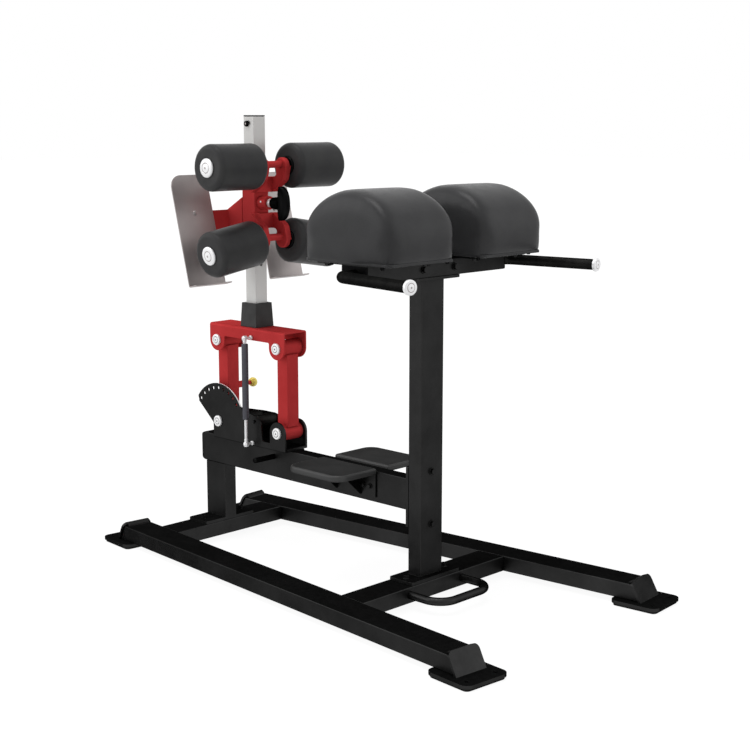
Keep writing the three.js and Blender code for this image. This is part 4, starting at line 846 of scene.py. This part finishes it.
def yoke(name, up, droop, node):
    z, block_z, h = PIN_Z + up * AXLE_RISE, PIN_Z + up * 59, up * 25
    block = fillet(rectangle(YOKE_REAR, block_z - 25, YOKE_FRONT, block_z + 25), 2, 2)
    rear = YOKE_REAR + 0.3
    arm = [(rear, block_z - h), (YOKE_FRONT, block_z - h), (AXLE_X + 15, block_z + h * 0.55),
           (AXLE_X + 27, z), (AXLE_X - 27, z), (AXLE_X - 15, block_z + h), (rear, block_z + h)]
    arm = fillet(arm, [0, 14, 22, 0, 0, 16, 0], 6)
    boss = fillet(rectangle(0, 0, 27, 18.8), [0, 4, 4, 0], 5)
    stub = fillet(rectangle(0, 0, 12, 227), [0, 0, 1.5, 0], 3)
    parts = []
    for _, s in SIDES:
        parts.append(prism(arm, "xz", *sorted((s * 35, s * 57))))
        parts.append(lathe(boss, (AXLE_X, s * 34.6, z), (0, s, 0), 64))
        along = Vector((0, s * cos(droop), -sin(droop)))
        parts.append(lathe(stub, (AXLE_X, s * 44, z + sin(droop) * 9), along, 40))
    bar_z = z + (5 if up > 0 else 9)
    parts.append(rod((AXLE_X, -44, bar_z), (AXLE_X, 44, bar_z), 11.5, 40))
    solid = join(prism(block, "xz", -53, 53), *parts)
    piece(name, solid, "carriage", RED, [node], 1.6, 3)


yoke("upper_yoke_arms", 1, 0.0, "upper_roller_yoke")
yoke("lower_yoke_arms", -1, DROOP, "lower_roller_yoke")


# Foam rollers: a soft skin with rounded ends, a black washer inside and a bright cap outside
ROLLER_RADIUS, ROLLER_INNER, ROLLER_EDGE = 74, 18, 18
ROLLER_LENGTH = {"near": 196, "far": 200}


def roller(side, s, level, up, droop):
    name = f"{side}_{level}_roller"
    axis = Vector((0, s * cos(droop), -sin(droop)))
    hub_place = Vector((AXLE_X, s * 53, PIN_Z + up * AXLE_RISE))
    place = hub_place - axis * (5 * s)
    edge, length = ROLLER_EDGE, ROLLER_LENGTH[side]
    flat, low, high = ROLLER_RADIUS - edge, ROLLER_INNER + edge, ROLLER_INNER + length - edge
    foam = [(20.4, 19.4), (33, 19), (36, 18.2), (flat, ROLLER_INNER)]
    foam += [(flat + edge * sin(t), low - edge * cos(t)) for t in quarter(8, 1)]
    foam += [(ROLLER_RADIUS - 0.35 * sin(pi * k / 8), low + (length - 2 * edge) * k / 8)
             for k in range(1, 8)]
    foam += [(flat + edge * cos(t), high + edge * sin(t)) for t in quarter(8)]
    foam += [(36, length + 17.8), (33, length + 17), (20.4, length + 16.6)]
    obj = piece(f"{name}_foam", ring(foam, place, axis, 96), name, FOAM, [name])
    washer = [(12.6, 6.7), (28, 6.7), (30, 10), (30, 24), (12.6, 24)]
    washer = ring(fillet(washer, [0.5, 2, 2, 1, 0.5]), hub_place, axis, 56)
    sleeve = ring(rectangle(12.6, 20, 19.8, 216), hub_place, axis, 40)
    cap = [(0, 223.4), (12.6, 223.4), (12.6, 218.3), (29.2, 218.3), (30, 219.2), (29.9, 221.2)]
    cap += [(30 - 9 * (1 - cos(t)), 221.2 + 4.4 * sin(t)) for t in quarter(6, 1)]
    cap += [(17.5, 226), (16.8, 225), (14.6, 225), (13.8, 226.2), (5.4, 227), (0, 227.1)]
    cap_place = place + axis * (length - ROLLER_LENGTH["far"])
    groove = ring(rectangle(14.7, 224.6, 16.7, 225.3), cap_place, axis, 48)
    dot = lathe(rectangle(0, 226, 3.4, 227.3), cap_place, axis, 20)
    piece(f"{name}_hub_cap", [lathe(cap, cap_place, axis, 64), washer, together(groove, dot), sleeve],
          name, [SILVER, PLASTIC, SHEET, PLASTIC], [f"{name}_hub"])


for side, s in SIDES:
    roller(side, s, "upper", 1, 0.0)
    roller(side, s, "lower", -1, DROOP)

# Pull pin: a bright collar, a round hub and a half-moon grip
GRIP_BACK, GRIP_DEPTH, GRIP_HALF, GRIP_REACH = -341.4, 39, 17, 55.5
collar = fillet(rectangle(6.2, 0, 14.5, 16), [0.4, 1.2, 1.2, 0.4], 3)
piece("pull_pin_collar", ring(collar, (-394.7, 0, PIN_Z), (1, 0, 0), 48), "pull_pin",
      SILVER, ["pull_collar"])
hub = fillet([(0, 0), (18.5, 0), (19.5, 10), (22.5, 38), (0, 38)], [0, 2.5, 12, 0, 0])
hub = lathe(hub, (-378.4, 0, PIN_Z), (1, 0, 0), 56)
moon_rings = []
for k in range(1, 32):
    t = pi * (k / 32 - 0.5)
    depth, width = GRIP_DEPTH * cos(t) ** 0.85, GRIP_HALF * cos(t) ** 0.3
    turns = [pi / 2 * j / 8 for j in range(-7, 8)]
    section = [(0.0, -width * 0.93), *[(depth * cos(a) ** 0.6, width * sin(a)) for a in turns],
               (0.0, width * 0.93)]
    moon_rings.append([(GRIP_BACK + u, v, PIN_Z + GRIP_REACH * sin(t)) for u, v in section])
pin = lathe(fillet(rectangle(0, 0, 5.8, 70), [0, 1.5, 0, 0], 3), (-440.5, 0, PIN_Z), (1, 0, 0), 28)
piece("pull_grip", [together(loft(moon_rings), hub), pin], "pull_pin",
      [PLASTIC, SILVER], ["pull_knob"], 0.8)
# A small bright silver dome on the barrel's near side.
screw = fillet([(0, 0), (3.2, 0), (3.2, 2.2), (0, 2.6)], [0, 0, 0.9, 0], 3)
piece("barrel_bright_dot", lathe(screw, (-414, -21.6, PIN_Z + 4), (0, -1, 0.17), 20), "carriage",
      SILVER)


# Footrest plates: each folded from one sheet, with a lip below and a bolt
LEAN = radians(14.5)
SHEET_X, SHEET_Y, SHEET_Z, SHEET_BOLT = -507, 174, 914, 238
SHEET_THICK, SHEET_WIDTH, SHEET_LENGTH, SHEET_CORNER, LIP, BEND = 4.0, 152.0, 365.0, 42.0, 34.0, 3.0


def sheet_rows():
    """Rows across the sheet from the lip to the top: inner point, outer point and half the width."""
    half, reach, straight = SHEET_WIDTH / 2, BEND + SHEET_THICK, SHEET_LENGTH - SHEET_CORNER
    lip = [(LIP, half - 1.2), (LIP - 1.2, half)]
    lip += [(LIP - (LIP - BEND) * k / 6, half) for k in range(1, 6)] + [(BEND, half)]
    rows = [((u, 0.0), (u, -SHEET_THICK), y) for u, y in lip]
    for t in [k / 6 * pi / 2 for k in range(1, 6)]:
        rows.append(((BEND - BEND * sin(t), BEND - BEND * cos(t)),
                     (BEND - reach * sin(t), BEND - reach * cos(t)), half))
    sheet = [(BEND + (straight - BEND) * k / 10, half) for k in range(11)]
    sheet += [(straight + SHEET_CORNER * sin(t), half - SHEET_CORNER * (1 - cos(t)))
              for t in quarter(14, 1)[:-1]]
    sheet += [(SHEET_LENGTH, half - SHEET_CORNER)]
    return rows + [((0.0, v), (-SHEET_THICK, v), y) for v, y in sheet]


def foot_plate(side, s):
    def leaning(u, v, y):
        x, z = u * cos(LEAN) - v * sin(LEAN), u * sin(LEAN) + v * cos(LEAN)
        return x + SHEET_X, y + s * SHEET_Y, z + SHEET_Z

    rings = []
    for inner, outer, half in sheet_rows():
        columns = [half * (2 * k / 8 - 1) for k in range(9)]
        rings.append([leaning(*inner, y) for y in columns] + [leaning(*outer, y) for y in columns[::-1]])
    at = Vector((SHEET_X - SHEET_BOLT * sin(LEAN), s * SHEET_Y, SHEET_Z + SHEET_BOLT * cos(LEAN)))
    out = Vector((cos(LEAN), 0, sin(LEAN)))
    head = [(0, 0), (8, 0), (8, 0.8), (7.2, 2.2), (5, 3.4), (2.4, 4), (0, 4.1)]
    head = lathe(fillet(head, [0, 0, 0.3, 1, 1, 1, 0], 3), at - out * 0.2, out, 32)
    piece(f"{side}_foot_sheet", together(loft(rings), head), "carriage", SHEET,
          [f"{side}_foot_plate"], 0.8)


for side, s in SIDES:
    foot_plate(side, s)


# Hand grips: a bent tube out of a plug plate, with a bright domed cap
HAND_X, HAND_Z, HAND_SPLAY = 297.5, 1015.3, radians(9)
HAND_REACH = {"near": 317, "far": 312}
PLUG_INNER, PLUG_OUTER = 300.3, 305.3


def hand_grip(side, s):
    along = Vector((cos(HAND_SPLAY), s * sin(HAND_SPLAY), 0))
    corner = Vector((HAND_X, s * 366, HAND_Z))
    end = corner + along * HAND_REACH[side]
    path = fillet([(HAND_X, s * 305, HAND_Z), tuple(corner), tuple(end)], 34, 14, closed=False)
    outline = [(u + HAND_X, v + HAND_Z + 2) for u, v in box_outline(99.4, 48.8, 3, 4)]
    plate = prism(outline, "xz", *sorted((s * PLUG_INNER, s * PLUG_OUTER)))
    piece(f"{side}_grip_tube", [sweep(path, 16.5, 40), plate], "frame", [RUBBER, PLASTIC],
          [f"{side}_hand_grip"], 1.0)
    piece(f"{side}_grip_end_cap", list(domed_cap(end + along * 0.3, along, 21, 10.7)), "frame",
          [SILVER, SHEET], [f"{side}_grip_cap"])


for side, s in SIDES:
    hand_grip(side, s)


# Thigh pads: an inflated cover over a board, with a rolled hem
PAD_X, PAD_BOTTOM = 290.0, 1047.6
PAD_HALF, PAD_WALL, PAD_DOME, PAD_WIDTH, PAD_EDGE = 175.5, 84.0, 125.5, 140.0, 36.0
PAD_Y = {"near": -195.0, "far": 205.0}


def pad_shell(shrink):
    """The pad's plain form, in its own coordinates, smaller by a margin all round."""
    half, dome, width = PAD_HALF - shrink, PAD_DOME - shrink, PAD_WIDTH - shrink
    flat = width - PAD_EDGE
    edge = [(flat + PAD_EDGE * cos(t), PAD_EDGE * (1 - sin(t))) for t in quarter(8)]
    middle = [(flat * (1 - 2 * k / 8), 0) for k in range(1, 8)]
    rings = []
    for y, inset in edge + middle + [(-y, inset) for y, inset in edge[::-1]]:
        h = half - inset * 0.33
        row = [(-h + 7, 0), (-h + 2.5, PAD_WALL * 0.22), (-h, PAD_WALL * 0.55)]
        row += [(-h * cos(pi * k / 40), PAD_WALL + (dome - inset) * sin(pi * k / 40))
                for k in range(41)]
        row += [(h, PAD_WALL * 0.55), (h - 2.5, PAD_WALL * 0.22), (h - 7, 0)]
        rings.append([(x, y, z) for x, z in row])
    return loft(rings)


def final_mesh(obj):
    """The mesh with all modifiers applied. The object itself goes."""
    graph = bpy.context.evaluated_depsgraph_get()
    mesh = bpy.data.meshes.new_from_object(obj.evaluated_get(graph))
    bpy.data.objects.remove(obj)
    return mesh


def inflate(obj):
    """Cloth under pressure; no point moves further than the cap."""
    cap, frames = 0.0045, 20
    scene = bpy.context.scene
    start = np.array([v.co for v in obj.data.vertices], float)
    held = obj.vertex_groups.new(name="held")
    held.add([v.index for v in obj.data.vertices if v.co.z < start[:, 2].min() + 0.006], 1.0, "REPLACE")
    m = obj.modifiers.new("cloth", "CLOTH")
    m.settings.use_pressure = True
    m.settings.uniform_pressure_force = 4.0
    m.settings.effector_weights.gravity = 0
    m.settings.vertex_group_mass = "held"
    m.settings.tension_stiffness = m.settings.compression_stiffness = 25
    m.settings.bending_stiffness = 2.0
    m.point_cache.frame_start, m.point_cache.frame_end = 1, frames
    for number in range(1, frames + 1):
        scene.frame_set(number)
    graph = bpy.context.evaluated_depsgraph_get()
    mesh = obj.evaluated_get(graph).to_mesh()
    blown = np.array([v.co for v in mesh.vertices], float)
    obj.modifiers.remove(m)
    scene.frame_set(1)
    shift = blown - start
    size = np.maximum(np.linalg.norm(shift, axis=1, keepdims=True), 1e-9)
    soft = cap * np.tanh(size / cap) / size
    obj.data.vertices.foreach_set("co", (start + shift * soft).astype(np.float32).ravel())
    obj.data.update()


def cover_mesh():
    obj = working_object(pad_shell(1.5))
    m = obj.modifiers.new("remesh", "REMESH")
    m.mode, m.voxel_size = "VOXEL", 0.0055
    m = obj.modifiers.new("smooth", "SMOOTH")
    m.factor, m.iterations = 0.5, 6
    obj = add_object("cover", final_mesh(obj))
    inflate(obj)
    m = obj.modifiers.new("settle", "SMOOTH")
    m.factor, m.iterations = 0.5, 36
    m = obj.modifiers.new("finer", "SUBSURF")
    m.levels = m.render_levels = 1
    return final_mesh(obj)


def thigh_pads():
    cover = cover_mesh()
    for side, s in SIDES:
        y = PAD_Y[side]
        mesh = cover.copy()
        mesh.transform(Matrix.Translation((PAD_X * MM, y * MM, PAD_BOTTOM * MM)))
        mesh.materials.clear()
        mesh.materials.append(VINYL)
        mesh.polygons.foreach_set("use_smooth", [True] * len(mesh.polygons))
        obj = add_object(f"{side}_pad_cover", mesh)
        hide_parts(f"{side}_thigh_pad")
        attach(obj, "frame")
        band = []
        for inset, z in ((2.5, 0.4), (0.4, 0.9), (0, 2.2), (0, 7.2), (0.7, 8.6), (2.6, 9.4), (5, 9.4)):
            half, width = PAD_HALF - 6 - inset, PAD_WIDTH - 3.6 - inset
            outline = box_outline(2 * half, 2 * width, 18 - inset, 10)
            band.append([(u + PAD_X, v + y, PAD_BOTTOM + z) for u, v in outline])
        piece(f"{side}_pad_hem", loft(band), "frame", VINYL)
        studs = [bolt((x, s * out, PAD_BOTTOM + 1), (0, 0, -1), 6, 8)
                 for x, out in ((225, 322), (424, 322), (438, 68))]
        piece(f"{side}_pad_studs", together(*studs), "frame", PLASTIC)


thigh_pads()


# Studio: a white floor and world, and soft light at a plain level
FLOOR_HALF, FLOOR_GLOW, WORLD_LIGHT = 40.0, 0.93, 0.42


def directly_seen(tree):
    """1 for what the camera sees, also in a reflection or through glass, and 0 for other light."""
    path = add_node(tree, "ShaderNodeLightPath")
    seen = path.outputs["Is Camera Ray"]
    for kind in ("Is Glossy Ray", "Is Transmission Ray"):
        both = add_node(tree, "ShaderNodeMath", operation="ADD", use_clamp=True)
        tree.links.new(seen, both.inputs[0])
        tree.links.new(path.outputs[kind], both.inputs[1])
        seen = both.outputs[0]
    return seen


def floor_material():
    """White wherever it is seen, with a faint shadow, and a plain matt floor to all other light."""
    material = bpy.data.materials.new("studio_floor")
    material.use_nodes = True
    tree = material.node_tree
    tree.nodes.clear()
    bounce = add_node(tree, "ShaderNodeBsdfDiffuse", {"Color": (0.8, 0.8, 0.8, 1)})
    faint = add_node(tree, "ShaderNodeBsdfDiffuse", {"Color": (0.12, 0.12, 0.12, 1)})
    glow = add_node(tree, "ShaderNodeEmission", {"Strength": FLOOR_GLOW})
    white, mix = add_node(tree, "ShaderNodeAddShader"), add_node(tree, "ShaderNodeMixShader")
    end = add_node(tree, "ShaderNodeOutputMaterial")
    for output, socket in (
        (faint.outputs[0], white.inputs[0]),
        (glow.outputs[0], white.inputs[1]),
        (directly_seen(tree), mix.inputs[0]),
        (bounce.outputs[0], mix.inputs[1]),
        (white.outputs[0], mix.inputs[2]),
        (mix.outputs[0], end.inputs["Surface"]),
    ):
        tree.links.new(output, socket)
    return material


def studio():
    mesh = bpy.data.meshes.new("studio_floor")
    corners = rectangle(-FLOOR_HALF, -FLOOR_HALF, FLOOR_HALF, FLOOR_HALF)
    mesh.from_pydata([(x, y, 0) for x, y in corners], [], [(0, 1, 2, 3)])
    mesh.materials.append(floor_material())
    add_object("studio_floor", mesh)

    world = bpy.data.worlds.new("studio")
    world.use_nodes = True
    bpy.context.scene.world = world
    tree = world.node_tree
    tree.nodes.clear()
    strength = add_node(tree, "ShaderNodeMapRange", {"To Min": WORLD_LIGHT})
    sky = add_node(tree, "ShaderNodeBackground", {"Color": (1, 1, 1, 1)})
    end = add_node(tree, "ShaderNodeOutputWorld")
    tree.links.new(directly_seen(tree), strength.inputs["Value"])
    tree.links.new(strength.outputs[0], sky.inputs["Strength"])
    tree.links.new(sky.outputs[0], end.inputs["Surface"])

    for name, place, energy, spread in (
        ("left", (-1.6, -1.9, 1.15), 1.05, 50),
        ("right", (2.2, 1.7, 0.7), 0.6, 60),
        ("top", (-0.3, -0.5, 3.0), 1.7, 34),
    ):
        lamp = bpy.data.lights.new(name, "SUN")
        lamp.energy, lamp.angle = energy, radians(spread)
        obj = add_object(name, lamp)
        obj.location = place
        obj.rotation_mode = "QUATERNION"
        obj.rotation_quaternion = Vector(place).to_track_quat("Z", "Y")


def camera():
    data = bpy.data.cameras.new("camera")
    data.sensor_width = SENSOR
    data.lens = FOCAL_PIXELS / PICTURE_PIXELS * SENSOR
    data.clip_start, data.clip_end = 0.05, 200.0
    obj = add_object("camera", data)
    turn = Matrix((CAMERA_RIGHT, CAMERA_UP, CAMERA_BACK)).transposed().to_4x4()
    obj.matrix_world = Matrix.Translation(CAMERA_PLACE) @ turn
    bpy.context.scene.camera = obj


studio()
camera()
bpy.context.scene.view_settings.view_transform = "Standard"
